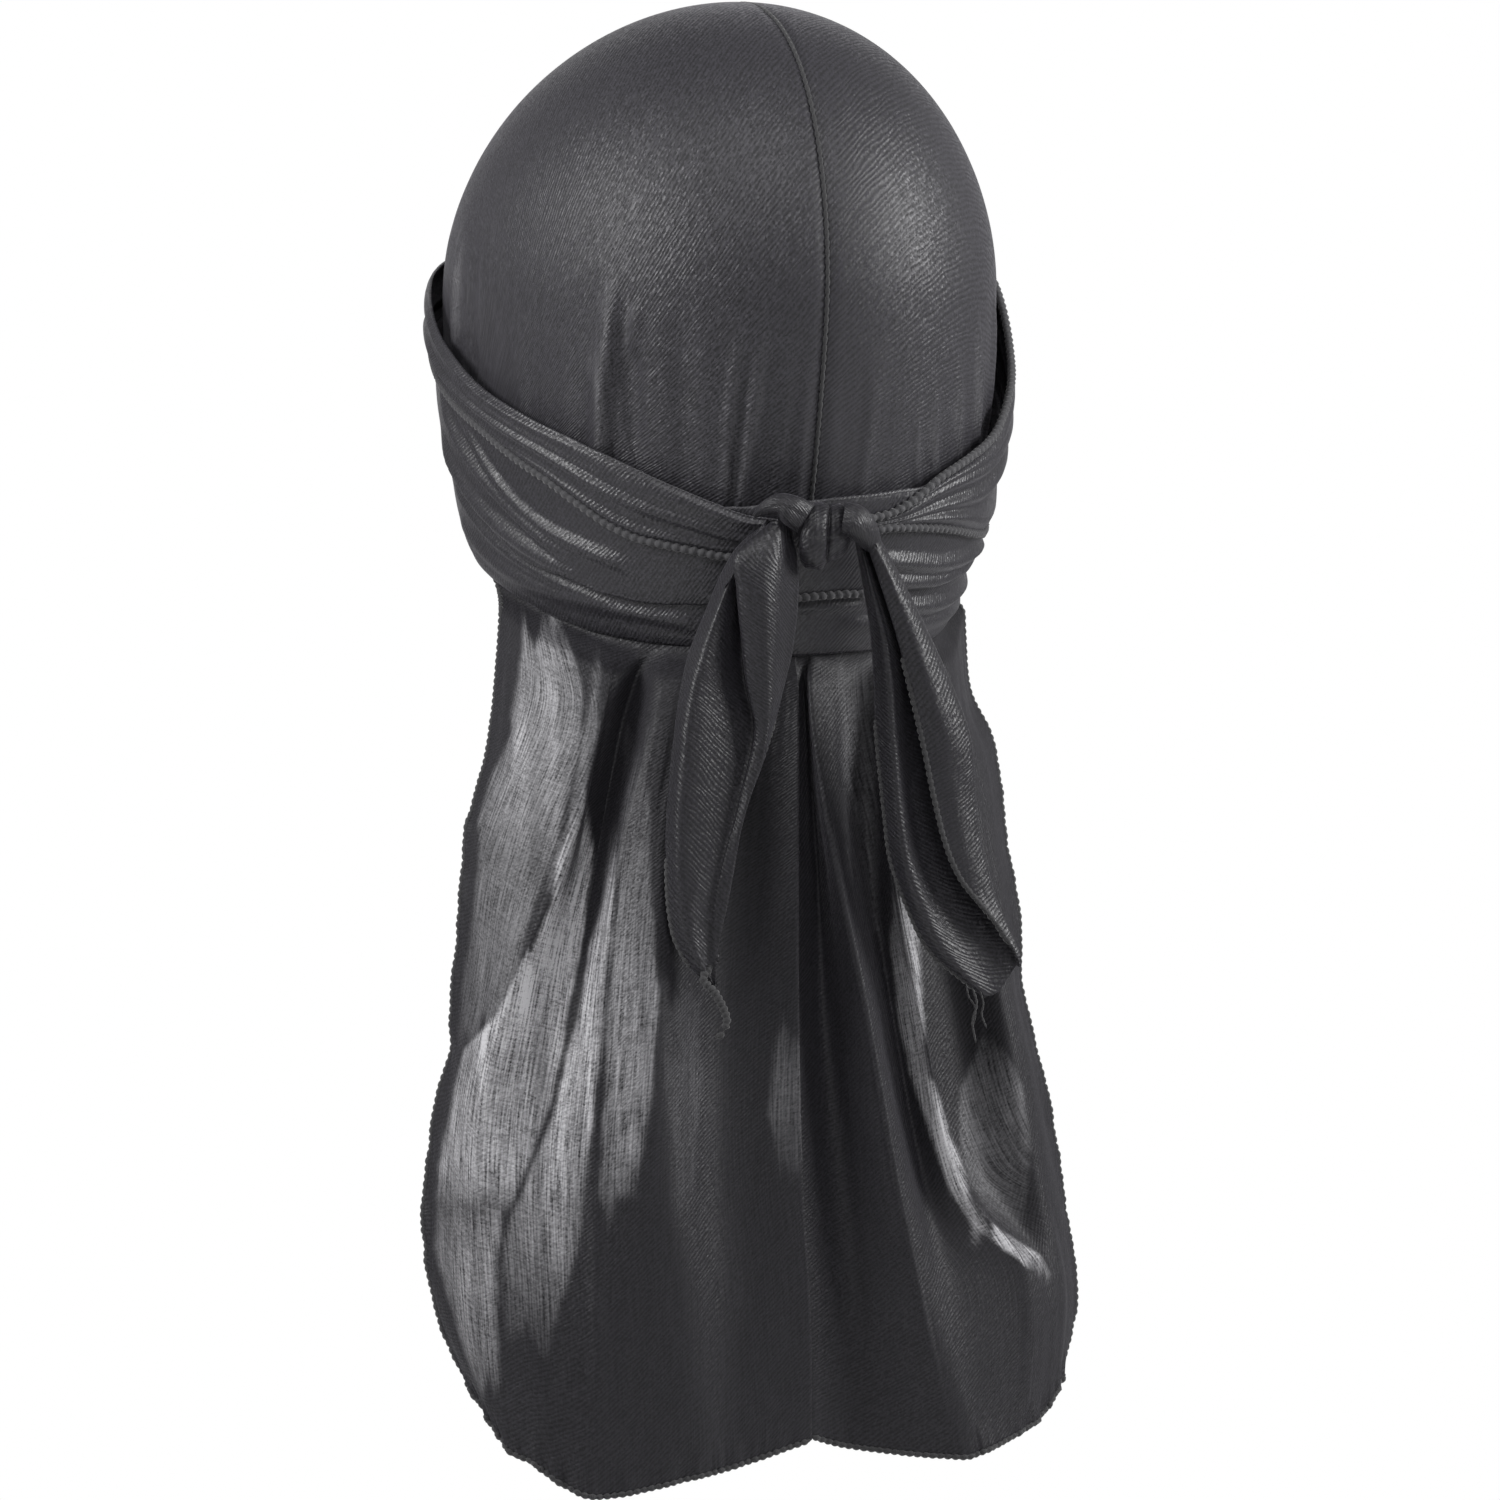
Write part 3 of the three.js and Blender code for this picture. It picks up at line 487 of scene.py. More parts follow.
def satin_twill(name, shade, roughness, specular, grain, streak, slub, sheer):
    """Dark satin: fine diagonal twill, yarn crowns that glint, long uneven threads and painted light: a pale
    grey painted where light shines through the thin cloth or onto it.
    """
    material = bpy.data.materials.new(name)
    material.use_nodes = True
    tree = material.node_tree
    shader = tree.nodes["Principled BSDF"]
    cloth = node(tree, "ShaderNodeUVMap", uv_map="cloth").outputs["UV"]

    # Twill lines, glints of the yarn crowns, and threads along and across the cloth
    split = node(tree, "ShaderNodeSeparateXYZ")
    tree.links.new(stretched(tree, cloth, TWILL_TURN, TWILL_PITCH, 8.0), split.inputs[0])
    wander = noise(tree, stretched(tree, cloth, TWILL_TURN, 4.0, 12.0), 1.0, 2.0)
    lines = maths(tree, "MULTIPLY", maths(tree, "MULTIPLY_ADD", wander, 2.2, split.outputs[0]), 2 * math.pi)
    twill = maths(tree, "MULTIPLY_ADD", maths(tree, "SINE", lines), 0.5, 0.5)
    speck, tilt = glints(tree, stretched(tree, cloth, TWILL_TURN, 0.4, 0.55))
    warp = contrast(tree, noise(tree, stretched(tree, cloth, 0.0, 0.6, 16.0), 1.0, 1.0), 2.4)
    weft = contrast(tree, noise(tree, stretched(tree, cloth, 90.0, 0.7, 9.0), 1.0, 1.0), 2.4)
    mottle = noise(tree, stretched(tree, cloth, 12.0, 16.0, 40.0), 1.0, 3.0)

    # Colour: near black with a violet-grey cast, lighter on the yarn crowns
    light = maths(tree, "MULTIPLY_ADD", maths(tree, "POWER", speck, 2.0), 0.7 * grain, 0.05)
    light = maths(tree, "MULTIPLY_ADD", twill, 0.45 * grain, light)
    light = maths(tree, "MULTIPLY_ADD", warp, 0.3 * streak, light)
    light = maths(tree, "MULTIPLY_ADD", weft, 0.3 * slub, light)
    light = maths(tree, "MULTIPLY_ADD", mottle, 0.2, light, clamp=True)
    ramp = node(tree, "ShaderNodeValToRGB")
    dark, bright = ramp.color_ramp.elements
    dark.position, bright.position = 0.1, 1.0
    dark.color = tuple(shade * level for level in DARK_DYE) + (1.0,)
    bright.color = tuple(shade * level for level in LIGHT_DYE) + (1.0,)
    tree.links.new(light, ramp.inputs["Fac"])
    colour = ramp.outputs["Color"]
    # Painted light: a pale grey mixed into the colour where the painted light attribute is set, broken up by
    # the yarns
    if sheer:
        painted_light_amount = node(tree, "ShaderNodeAttribute", attribute_name="sheer").outputs["Fac"]
        yarns = maths(tree, "MULTIPLY_ADD", weft, 0.35, maths(tree, "MULTIPLY_ADD", speck, 0.5, warp))
        thread_show = maths(tree, "MULTIPLY_ADD", yarns, 0.72, -0.12)
        painted_light_share = maths(tree, "MULTIPLY", painted_light_amount, thread_show, clamp=True)
        mix = node(tree, "ShaderNodeMix", data_type="RGBA")
        tree.links.new(painted_light_share, mix.inputs["Factor"])
        tree.links.new(colour, mix.inputs["A"])
        mix.inputs["B"].default_value = PAINTED_LIGHT_COLOUR + (1.0,)
        colour = mix.outputs["Result"]
    tree.links.new(colour, shader.inputs["Base Color"])

    # Gloss: broken up by the yarns
    gloss = maths(tree, "MULTIPLY_ADD", speck, -0.16 * grain, roughness + 0.12 * grain)
    gloss = maths(tree, "MULTIPLY_ADD", twill, -0.1 * grain, gloss)
    gloss = maths(tree, "MULTIPLY_ADD", warp, 0.1 * streak, gloss)
    tree.links.new(gloss, shader.inputs["Roughness"])

    # Relief
    height = maths(tree, "MULTIPLY", twill, 1.1 * grain)
    height = maths(tree, "MULTIPLY_ADD", warp, 0.8 * streak, height)
    height = maths(tree, "MULTIPLY_ADD", weft, 0.8 * slub, height)
    relief = node(tree, "ShaderNodeBump")
    relief.inputs["Strength"].default_value = 0.45
    relief.inputs["Distance"].default_value = 0.00014
    tree.links.new(height, relief.inputs["Height"])
    tree.links.new(tilted_normal(tree, tilt, 0.26 * grain), relief.inputs["Normal"])
    tree.links.new(relief.outputs["Normal"], shader.inputs["Normal"])

    shader.inputs["Specular IOR Level"].default_value = specular
    shader.inputs["Sheen Weight"].default_value = 0.12
    shader.inputs["Sheen Roughness"].default_value = 0.35
    shader.inputs["Sheen Tint"].default_value = SHEEN_DYE + (1.0,)
    return material


def thread(name, shade):
    """Dull overlock thread, darker and lighter along its fibres."""
    material = bpy.data.materials.new(name)
    material.use_nodes = True
    tree = material.node_tree
    shader = tree.nodes["Principled BSDF"]
    place = node(tree, "ShaderNodeUVMap", uv_map="cloth")
    fibres = node(tree, "ShaderNodeMapping")
    fibres.inputs["Scale"].default_value = FIBRES_PER_METRE
    fibres.inputs["Rotation"].default_value = (0, 0, FIBRE_TURN)
    tree.links.new(place.outputs["UV"], fibres.inputs["Vector"])
    fibre = noise(tree, fibres.outputs[0], 1.0, 2.0)
    ramp = node(tree, "ShaderNodeValToRGB")
    dark, bright = ramp.color_ramp.elements
    dark.color = tuple(shade * level for level in DARK_THREAD) + (1.0,)
    bright.color = tuple(shade * level for level in LIGHT_THREAD) + (1.0,)
    tree.links.new(fibre, ramp.inputs["Fac"])
    tree.links.new(ramp.outputs["Color"], shader.inputs["Base Color"])
    relief = node(tree, "ShaderNodeBump")
    relief.inputs["Strength"].default_value = 0.6
    relief.inputs["Distance"].default_value = 0.0002
    tree.links.new(fibre, relief.inputs["Height"])
    tree.links.new(relief.outputs["Normal"], shader.inputs["Normal"])
    shader.inputs["Roughness"].default_value = 0.75
    shader.inputs["Sheen Weight"].default_value = 0.2
    return material


# Crown

CROWN_EDGE = table(
    "angle depth",
    (0, 1.0),
    (45, 0.95),
    (90, 0.78),
    (135, 0.64),
    (180, 0.6),
)

# How far down the front and the back the centre seam is stitched, and the gap from the middle to each half
SEAM_FRONT = 100.0
SEAM_BACK = 142.0
SEAM_GAP = 0.05

# Folds pulled into the crown above the wrap: where they run, their width and height in millimetres, how steep
# the side towards the wearer's right is and how much of the fold is gone below its end
CROWN_FOLDS = table(
    "top end width height steep fade",
    ((43, 76), (46.5, 132), 6.0, 3.6, 0.4, 0.35),
    ((41, 80), (40, 120), 4.0, -1.5, 1.4, 0.6),
    ((38.6, 84), (39.4, 97), 2.4, 1.5, 1.0, 1.0),
    ((44, 100), (40.4, 130), 1.5, 0.6, 0.9, 0.2),
    ((30, 78), (29, 128), 5.0, -0.7, 1.0, 0.6),
    ((18, 92), (19.2, 133), 2.6, 1.4, 0.6, 0.3),
    ((15.6, 94), (17.6, 133), 1.6, -0.5, 1.0, 0.3),
    ((12.4, 92), (15.6, 135), 2.8, 1.2, 0.8, 0.3),
    ((7.4, 94), (8.0, 138), 2.4, 0.6, 0.8, 0.3),
    ((3.2, 96), (3.6, 140), 2.2, 0.6, 0.6, 0.3),
    ((-12, 100), (-12, 138), 3.4, 0.6, 0.8, 0.3),
    ((-23.5, 108), (-27.5, 131), 2.4, 0.8, 0.7, 0.2),
    ((-28.5, 102), (-33.5, 129), 2.8, 1.0, 0.6, 0.2),
    ((-36, 96), (-43, 126), 3.2, 1.2, 0.6, 0.2),
    ((-44, 84), (-52.5, 121), 3.6, 1.4, 0.55, 0.2),
    ((-58, 76), (-62, 112), 5.0, 1.1, 0.6, 0.35),
    ((54, 92), (55, 124), 4.0, 0.5, 1.0, 0.35),
    ((66, 84), (67, 116), 4.5, 0.8, 0.8, 0.35),
    ((83, 58), (84, 98), 5.0, -1.3, 1.0, 0.5),
    ((92, 58), (92.5, 92), 5.0, 1.7, 0.7, 0.5),
)


def crown_lift(angle, depth):
    lift = np.zeros(np.broadcast(angle, depth).shape)
    for fold in CROWN_FOLDS:
        (start_angle, start), (end_angle, end) = fold["top"], fold["end"]
        along = (depth - start) / (end - start)
        centre = start_angle + (end_angle - start_angle) * np.clip(along, 0, 1.2)
        offset = np.radians(angle - centre) * HEAD_HALF_WIDTH
        width = np.where(offset > 0, fold["width"], fold["width"] * fold["steep"])
        grow = ease(along, -0.05, 0.6) * (1 - fold["fade"] * ease(along, 1.0, 1.25))
        lift += fold["height"] * bump(offset, width) * grow
    return lift


def crown_side_grid(side, rows, columns):
    dome_arc = DOME_HEIGHT * math.pi / 2
    down = np.linspace(0.0, 1.0, rows)[:, None] ** 0.9
    round_ = np.linspace(0.0, 1.0, columns)[None, :]
    angle = side * 180.0 * round_
    edge = CROWN_DROP * read_table(CROWN_EDGE, "angle", 180.0 * round_, "depth")
    run = 0.004 + down * (dome_arc + edge - DOME_HEIGHT)
    depth = np.where(run < dome_arc, DOME_HEIGHT * (1 - np.cos(np.minimum(run, dome_arc) / DOME_HEIGHT)),
                     DOME_HEIGHT + run - dome_arc)
    angle = np.broadcast_to(angle, depth.shape)
    soft = 0.22 * ripple(angle / 14.0, depth / 16.0, 11) * ease(depth, 20, 60)
    gather = 0.32 * ripple(angle / 3.2, depth / 34.0, 12) * ease(depth, 84, 126)
    off = CLOTH + 0.3 + crown_lift(angle, depth) + soft + gather
    seam_dip = 0.55 * bump(on_head(angle, depth, off)[..., 0], 3.2) * ease(depth, 0.5, 6)
    grid = on_head(angle, depth, off - seam_dip)
    grid[..., 0] += side * SEAM_GAP
    return grid


def crown_uv(grid):
    """Cloth coordinates over the dome: across from the seam, and along the seam from front to back."""
    centre = np.array([0.0, -CROWN_SET_BACK, -DOME_HEIGHT])
    rel = grid - centre
    radius = np.linalg.norm(rel, axis=-1)
    around = np.arctan2(rel[..., 1], np.maximum(rel[..., 2], -60.0) + 62.0)
    tilt = np.arcsin(np.clip(rel[..., 0] / radius, -1, 1))
    return np.stack([tilt * radius, around * HEAD_HALF_DEPTH], -1) * MM


def make_crown(satin, stitch):
    for side, name in ((1, "crown_left"), (-1, "crown_right")):
        grid = crown_side_grid(side, 140, 200)
        outward = grid - np.array([0.0, -CROWN_SET_BACK, -DOME_HEIGHT])
        piece = cloth_piece(name + "_satin", grid, satin, outward=outward, uv=crown_uv(grid))
        # Painted highlights on the crown's folds
        mark_painted_light(piece, grid, PAINTED_LIGHT_BANDS[name])
        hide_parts(name)
    over_top = np.linspace(-SEAM_FRONT, SEAM_BACK, 480)
    angle = np.where(over_top < 0, 180.0, 0.0)
    depth = np.maximum(np.abs(over_top), 0.2)
    path = on_head(angle, depth, np.full(480, CLOTH - 0.05))
    away = on_head(angle, depth, np.full(480, 9.0)) - path
    seam = stitched_piece("centre_seam_stitching", [(path, away, *SEAM_STITCH)], stitch)
    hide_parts("crown_seam")


# Straps

LEFT_STRAP = table(
    "turn top bottom layer",
    (152, 0.4, 0.53, 1),
    (120, 0.51, 0.72, 1),
    (97, 0.62, 0.85, 1),
    (72, 0.71, 0.922, 1),
    (52, 0.77, 0.963, 1),
    (34, 0.812, 0.983, 1),
    (0, 0.85, 1.0, 1),
    (-22, 0.84, 0.99, 1),
    (-47, 0.8, 0.972, 1),
    (-70, 0.75, 0.935, 1),
    (-90, 0.68, 0.87, 1),
    (-120, 0.54, 0.74, 1),
    (-150, 0.38, 0.56, 1),
    (-170, 0.31, 0.435, 1),
    (-190, 0.31, 0.42, 1.5),
    (-212, 0.34, 0.445, 3),
    (-240, 0.395, 0.495, 3),
    (-258, 0.455, 0.545, 3),
    (-270, 0.52, 0.6, 3),
    (-284, 0.59, 0.655, 3),
    (-295, 0.63, 0.703, 3),
    (-304, 0.66, 0.741, 3),
    (-319, 0.708, 0.812, 3),
    (-333, 0.755, 0.84, 3),
    (-345, 0.789, 0.852, 3),
    (-352, 0.797, 0.838, 3),
)

RIGHT_STRAP = table(
    "turn top bottom layer",
    (-152, 0.41, 0.54, 2),
    (-120, 0.46, 0.65, 2),
    (-97, 0.53, 0.745, 2),
    (-75, 0.61, 0.815, 2),
    (-55, 0.685, 0.865, 2),
    (-40, 0.722, 0.89, 2),
    (-25, 0.748, 0.902, 2),
    (0, 0.77, 0.912, 2),
    (25, 0.78, 0.922, 2),
    (42, 0.762, 0.915, 2),
    (60, 0.71, 0.873, 2),
    (70, 0.672, 0.848, 2),
    (81, 0.62, 0.8, 2),
    (92, 0.57, 0.745, 2),
    (104, 0.52, 0.685, 2),
    (125, 0.465, 0.6, 2),
    (150, 0.445, 0.545, 2),
    (180, 0.435, 0.53, 2),
    (208, 0.39, 0.53, 3),
    (240, 0.345, 0.545, 3),
    (258, 0.35, 0.6, 3),
    (270, 0.4, 0.67, 3),
    (285, 0.53, 0.775, 3),
    (297, 0.6, 0.806, 3),
    (308, 0.662, 0.811, 3),
    (320, 0.702, 0.808, 3),
    (330, 0.735, 0.806, 3),
    (341, 0.783, 0.808, 3),
    (349, 0.798, 0.816, 3),
)

# Folds of the first turns where they show: crest as (angle, depth) from start over middle to end,
# the widths above and below the crest, and the height, in millimetres
WRAP_FOLDS = table(
    "path above below height",
    (((100, 104), (80, 131), (52, 158)), 6.0, 2.6, 2.0),
    (((104, 116), (82, 141), (50, 163)), 6.0, 2.2, 1.7),
    (((88, 112), (66, 142), (36, 160)), 4.0, 2.4, 1.5),
    (((104, 128), (80, 150), (40, 170)), 5.0, 2.6, 1.5),
    (((106, 140), (74, 160), (20, 174)), 4.5, 3.0, 1.2),
    (((-12, 156), (-40, 156), (-75, 148)), 4.5, 2.0, 1.9),
    (((-14, 161), (-42, 161), (-78, 150)), 4.0, 1.8, 1.5),
    (((-20, 168), (-45, 167), (-80, 158)), 4.5, 2.2, 1.7),
    (((-8, 173), (-40, 172), (-80, 164)), 4.0, 2.6, 1.1),
    (((22, 167), (0, 168), (-20, 167)), 3.5, 1.6, 1.1),
)


def wrap_fold_lift(turn, depth):
    angle = (turn + 540.0) % 360.0 - 180.0
    lift = np.zeros(np.broadcast(angle, depth).shape)
    for fold in WRAP_FOLDS:
        (a0, d0), (a1, d1), (a2, d2) = sorted(fold["path"])
        crest = curve_through([a0, a1, a2], [d0, d1, d2], np.clip(angle, a0, a2))
        window = ease(angle, a0 - 1, a0 + 10) * (1 - ease(angle, a2 - 10, a2 + 1))
        offset = depth - crest
        shape = bump(offset, np.where(offset < 0, fold["above"], fold["below"]))
        lift = np.maximum(lift, fold["height"] * shape * window)
    return lift


def strap_edges(rows, turn):
    """The depths of a strap's top and bottom edges at a turn."""
    return tuple(WRAP_DROP * read_table(rows, "turn", turn, edge) for edge in ("top", "bottom"))


def strap_grid(strap, rows, columns, seed, bands):
    turn = np.linspace(strap[0]["turn"], strap[-1]["turn"], rows)[:, None]
    across = np.linspace(0.0, 1.0, columns)[None, :]
    top, bottom = strap_edges(strap, turn)
    layer = read_table(strap, "turn", turn, "layer")
    width = bottom - top
    top = top + 0.5 * ripple(turn / 9.0, turn * 0.0, seed)
    bottom = bottom + 0.6 * ripple(turn / 8.0, turn * 0.0, seed + 1)
    depth = top + (bottom - top) * across
    turn_grid = np.broadcast_to(turn, depth.shape)
    base = LAYER_PITCH * layer + packed_under(turn) + CLOTH

    # Folds: on the last turn they run with the band, below it they follow the wrap's folds where not covered
    over = ease(layer, 2.2, 2.9)
    along_noise = ripple(turn_grid / 24.0, across * 5.0, seed + 2, octaves=3, start=1.4)
    fine_noise = ripple(turn_grid / 9.0, across * 12.0, seed + 3, octaves=2, start=1.3)
    band = np.zeros_like(depth)
    for centre, drift, upper, lower, height in bands:
        crest = centre + drift * np.sin(turn_grid / 23.0 + centre * 9.0)
        offset = across - crest
        shape = bump(offset, np.where(offset < 0, upper, lower))
        band = np.maximum(band, height * shape)
    first_turn = wrap_fold_lift(turn_grid, depth)
    angle = (turn_grid + 540.0) % 360.0 - 180.0
    free = np.ones_like(depth)
    for cover in (LEFT_STRAP, RIGHT_STRAP):
        span = sorted((cover[0]["turn"], cover[-1]["turn"]))
        for shift in (-360.0, 0.0, 360.0):
            at = angle + shift
            inside = (at >= span[0]) & (at <= span[1])
            if not inside.any():
                continue
            cover_layer = read_table(cover, "turn", at, "layer")
            cover_top, cover_bottom = strap_edges(cover, at)
            higher = inside & (cover_layer > np.broadcast_to(layer, depth.shape) + 0.5)
            clear = np.maximum(ease(depth, cover_bottom + 0.2, cover_bottom + 4.5),
                               ease(-depth, -cover_top + 0.5, -cover_top + 3.0))
            free = np.where(higher, np.minimum(free, clear), free)
    pinch = ease(width, 6.0, 20.0)
    lift = over * (band * (0.35 + 0.65 * pinch) + 0.5 * along_noise) + (1 - over) * free * first_turn
    lift = lift + free * (0.1 * fine_noise + 0.3 * along_noise) * (0.3 + 0.7 * pinch)
    edge = np.minimum(across, 1 - across) * width
    roll = 0.9 * (1 - ease(edge, 0.0, 2.2)) * free
    off = base + np.maximum(lift, -0.35) - roll * (0.6 + 0.4 * over)
    return on_head(turn_grid, depth, off), turn[:, 0]


# Folds along each strap's last turn, as shares of its width: place, drift, widths above and below, and the
# height in millimetres
STRAP_BANDS = {
    "left": (
        (0.22, 0.04, 0.3, 0.34, 0.7),
        (0.62, 0.09, 0.2, 0.1, 1.5),
        (0.88, 0.03, 0.12, 0.1, 0.9),
    ),
    "right": (
        (0.12, 0.03, 0.12, 0.1, 0.9),
        (0.34, 0.05, 0.16, 0.1, 1.6),
        (0.58, 0.05, 0.16, 0.09, 1.5),
        (0.82, 0.04, 0.16, 0.1, 1.4),
    ),
}


# Edges of each strap that show their overlocking: column, and the turns between which they do
STRAP_BRAIDS = {"left": ((-1, -360, -150),), "right": ((0, 150, 360), (-1, 150, 360), (-1, -17, 7))}
BRAID_LIFT = 0.7

# Which way the twill leans along each strap
STRAP_HAND = {"left": -1, "right": 1}


def make_straps(satin, stitch):
    edges = []
    for strap, side, seed in ((LEFT_STRAP, "left", 31), (RIGHT_STRAP, "right", 47)):
        grid, turn = strap_grid(strap, 560, 44, seed, STRAP_BANDS[side])
        outward = grid - np.array([0.0, -CROWN_SET_BACK, 0.0])
        outward[..., 2] = 0.0
        name = "strap_" + side
        uv = cloth_uv(grid, STRAP_HAND[side])
        piece = cloth_piece(name + "_satin", grid, satin, outward=outward, uv=uv)
        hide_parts(name)
        normal = grid_normals(grid)
        if np.mean(np.sum(normal * outward, axis=-1)) < 0:
            normal = -normal
        for column, start, end in STRAP_BRAIDS[side]:
            rows = (turn >= start) & (turn <= end)
            lifted = grid[rows, column] + normal[rows, column] * BRAID_LIFT
            edges.append(edge_run(lifted, normal[rows, column], STRAP_STITCH))
    braid = stitched_piece("strap_edge_stitching", edges, stitch)


# Sheets drawn through fold lines

def in_view(across, down, back):
    """The point with y = back that the view shows across and down from the crown's top, in millimetres."""
    across, down, back = np.broadcast_arrays(np.asarray(across, float), down, back)
    seen = across - PICTURE_MIDDLE[0]
    lean = seen / (VIEW_DISTANCE * VIEW_BACK[1])
    flat = (seen - lean * (back - VIEW_TARGET[1])) / (1 - lean * VIEW_ACROSS[1])
    near = (back - VIEW_TARGET[1] - flat * VIEW_ACROSS[1]) / VIEW_BACK[1]
    zoom = VIEW_DISTANCE / (VIEW_DISTANCE - near)
    point = VIEW_TARGET + flat[..., None] * VIEW_ACROSS + near[..., None] * VIEW_BACK
    point[..., 2] = PICTURE_MIDDLE[1] + (-down - PICTURE_MIDDLE[1]) / zoom
    return point


def line_points(path, t):
    """Places along a fold line given by (across, down, back) points, t from 0 at its top to 1 at its end."""
    path = np.asarray(path, float)
    keys = (path[:, 1] - path[0, 1]) / (path[-1, 1] - path[0, 1])
    seen = curve_through(keys, path, t)
    return in_view(seen[:, 0], seen[:, 1], seen[:, 2])


def between_lines(lines, columns):
    """Rows of a sheet through lines of points, lines[k][row], with columns spread over the cloth's width."""
    lines = np.asarray(lines)
    count, rows = lines.shape[:2]
    widths = np.mean(np.linalg.norm(np.diff(lines, axis=0), axis=-1), axis=1) + 1.2
    keys = np.concatenate([[0.0], np.cumsum(widths)])
    places = np.linspace(0.0, keys[-1], columns)
    grid = curve_through(keys, lines.reshape(count, -1), places).reshape(columns, rows, 3)
    return grid.transpose(1, 0, 2), places, keys


# Flap

# The length over which the flap comes off the head, its stand-off there and the gap at its centre seam
FLAP_RELEASE = 11.0
FLAP_OFF = 2 * CLOTH + 1.0
FLAP_SEAM_GAP = 0.12
SEATED_ROWS = 14

# Fold lines of each half from the centre to the side. Seat is the angle on the head under the wrap.
# Each path runs from the wrap to the hem: millimetres across and down in the view, and back from the origin.
LEFT_FLAP = table(
    "line seat path",
    ("centre", 0, (
        (18.1, 177, 56), (18.2, 200, 61), (18.2, 240, 65), (18.4, 280, 68), (19.4, 325, 72),
         (21.7, 365, 73), (22.0, 398, 72))),
    ("hollow", 8, (
        (9.5, 177, 55), (7.0, 200, 56), (0.8, 240, 58), (-2.6, 280, 62), (-2.6, 325, 69), (0.5, 365, 72),
         (1.8, 405, 72))),
    ("ridge", 24, (
        (-7.0, 176, 52), (-12.0, 200, 61), (-18.4, 240, 70), (-20.8, 280, 75), (-20.0, 325, 78),
         (-15.0, 365, 77), (-12.2, 409, 74))),
    ("small ridge", 32, (
        (-18.0, 176, 50), (-22.6, 200, 58), (-31.6, 240, 63), (-37.0, 280, 67), (-38.8, 325, 71),
         (-37.6, 365, 74), (-37.0, 414, 73))),
    ("crease", 37, (
        (-22.8, 175, 44), (-31.0, 200, 43), (-38.0, 240, 52), (-44.4, 280, 60), (-53.8, 325, 64),
         (-52.4, 365, 68), (-48.3, 410, 70))),
    ("shoulder", 42, (
        (-27.0, 175, 44), (-36.4, 200, 51), (-43.4, 240, 55), (-50.6, 280, 58), (-61.0, 325, 62),
         (-58.6, 365, 66), (-55.0, 405, 67))),
    ("side ridge", 52, (
        (-35.2, 173, 42), (-38.0, 200, 54), (-47.8, 240, 60), (-64.0, 280, 60), (-72.4, 325, 58),
         (-70.6, 365, 59), (-62.5, 401, 62))),
    ("panel", 70, (
        (-52.0, 166, 25), (-56.5, 200, 40), (-64.0, 240, 48), (-72.4, 280, 49), (-79.6, 325, 50),
         (-78.5, 362, 52), (-69.5, 391, 55))),
    ("edge", 88, (
        (-64.0, 158, -3), (-65.5, 180, 8), (-67.7, 203, 19), (-73.8, 226, 29), (-75.5, 245, 34),
         (-77.5, 272, 36), (-79.0, 290, 37), (-84.0, 311, 38), (-85.6, 335, 40), (-83.8, 358, 43),
         (-75.0, 381, 48))),
)

RIGHT_FLAP = table(
    "line seat path",
    ("centre", 0, (
        (17.0, 177, 54.8), (17.0, 200, 59.8), (17.0, 240, 63.8), (17.2, 280, 66.8), (18.4, 325, 70.8),
         (20.7, 365, 71.8), (21.2, 397, 70.8))),
    ("hollow", -3, (
        (19.4, 177, 55), (21.0, 200, 55), (23.4, 240, 56), (25.4, 280, 60), (30.0, 325, 65),
         (34.0, 365, 68.5), (33.5, 400, 70))),
    ("ridge", -7, (
        (21.6, 177, 55.4), (22.6, 200, 63), (28.8, 240, 69), (37.0, 280, 74), (45.0, 325, 78),
         (54.0, 370, 79), (61.2, 403, 77))),
    ("panel", -20, (
        (33.5, 177, 52), (34.5, 200, 54), (37.6, 240, 57), (44.0, 280, 61), (52.2, 325, 68),
         (63.0, 365, 74), (70.0, 401, 75))),
    ("fold", -30, (
        (41.5, 176, 49), (42.4, 200, 58), (44.8, 240, 68), (52.0, 280, 73), (62.0, 325, 73),
         (80.5, 352, 68), (80.0, 396, 70))),
    ("under fold", -31, (
        (40.8, 176, 46), (40.2, 200, 47), (41.4, 240, 50), (48.2, 280, 55), (58.6, 325, 60),
         (80.6, 352, 65), (83.0, 394, 67))),
    ("deep", -37, (
        (46.6, 175, 41), (47.0, 200, 40), (53.0, 240, 41), (60.5, 280, 44), (70.0, 325, 49),
         (86.2, 352, 58), (86.0, 391, 62))),
    ("side ridge", -55, (
        (58.5, 172, 28), (62.0, 200, 38), (69.0, 240, 45), (75.5, 280, 49), (84.0, 325, 52),
         (91.0, 355, 54), (90.0, 384, 57))),
    ("edge", -88, (
        (63.6, 158, -3), (64.4, 176, 5), (66.0, 190, 12), (72.0, 204, 18), (75.2, 226, 27), (78.0, 246, 32),
         (80.0, 272, 35), (84.4, 291, 36), (89.4, 316, 37), (93.8, 342, 40), (95.4, 359, 43),
         (92.0, 379, 49))),
)

# Thin standing creases along some lines, height in millimetres
FLAP_CRESTS = {"left": {"small ridge": 0.7, "side ridge": 0.3}, "right": {"ridge": 0.9, "fold": 0.3}}


def flap_grid(lines, rows, columns):
    t = np.linspace(0.0, 1.0, rows)
    all_lines = []
    for line in lines:
        free = line_points(line["path"], t)
        start_depth = -free[0, 2]
        depth = -free[:, 2]
        seat = on_head(line["seat"], depth, FLAP_OFF)
        hold = 1 - ease(depth, start_depth, start_depth + FLAP_RELEASE)
        free = free + (seat - free) * hold[:, None]
        hidden_depth = np.linspace(FLAP_TOP, start_depth, SEATED_ROWS + 1)[:-1]
        hidden = on_head(line["seat"], hidden_depth, FLAP_OFF)
        all_lines.append(np.concatenate([hidden, free]))
    return between_lines(all_lines, columns)


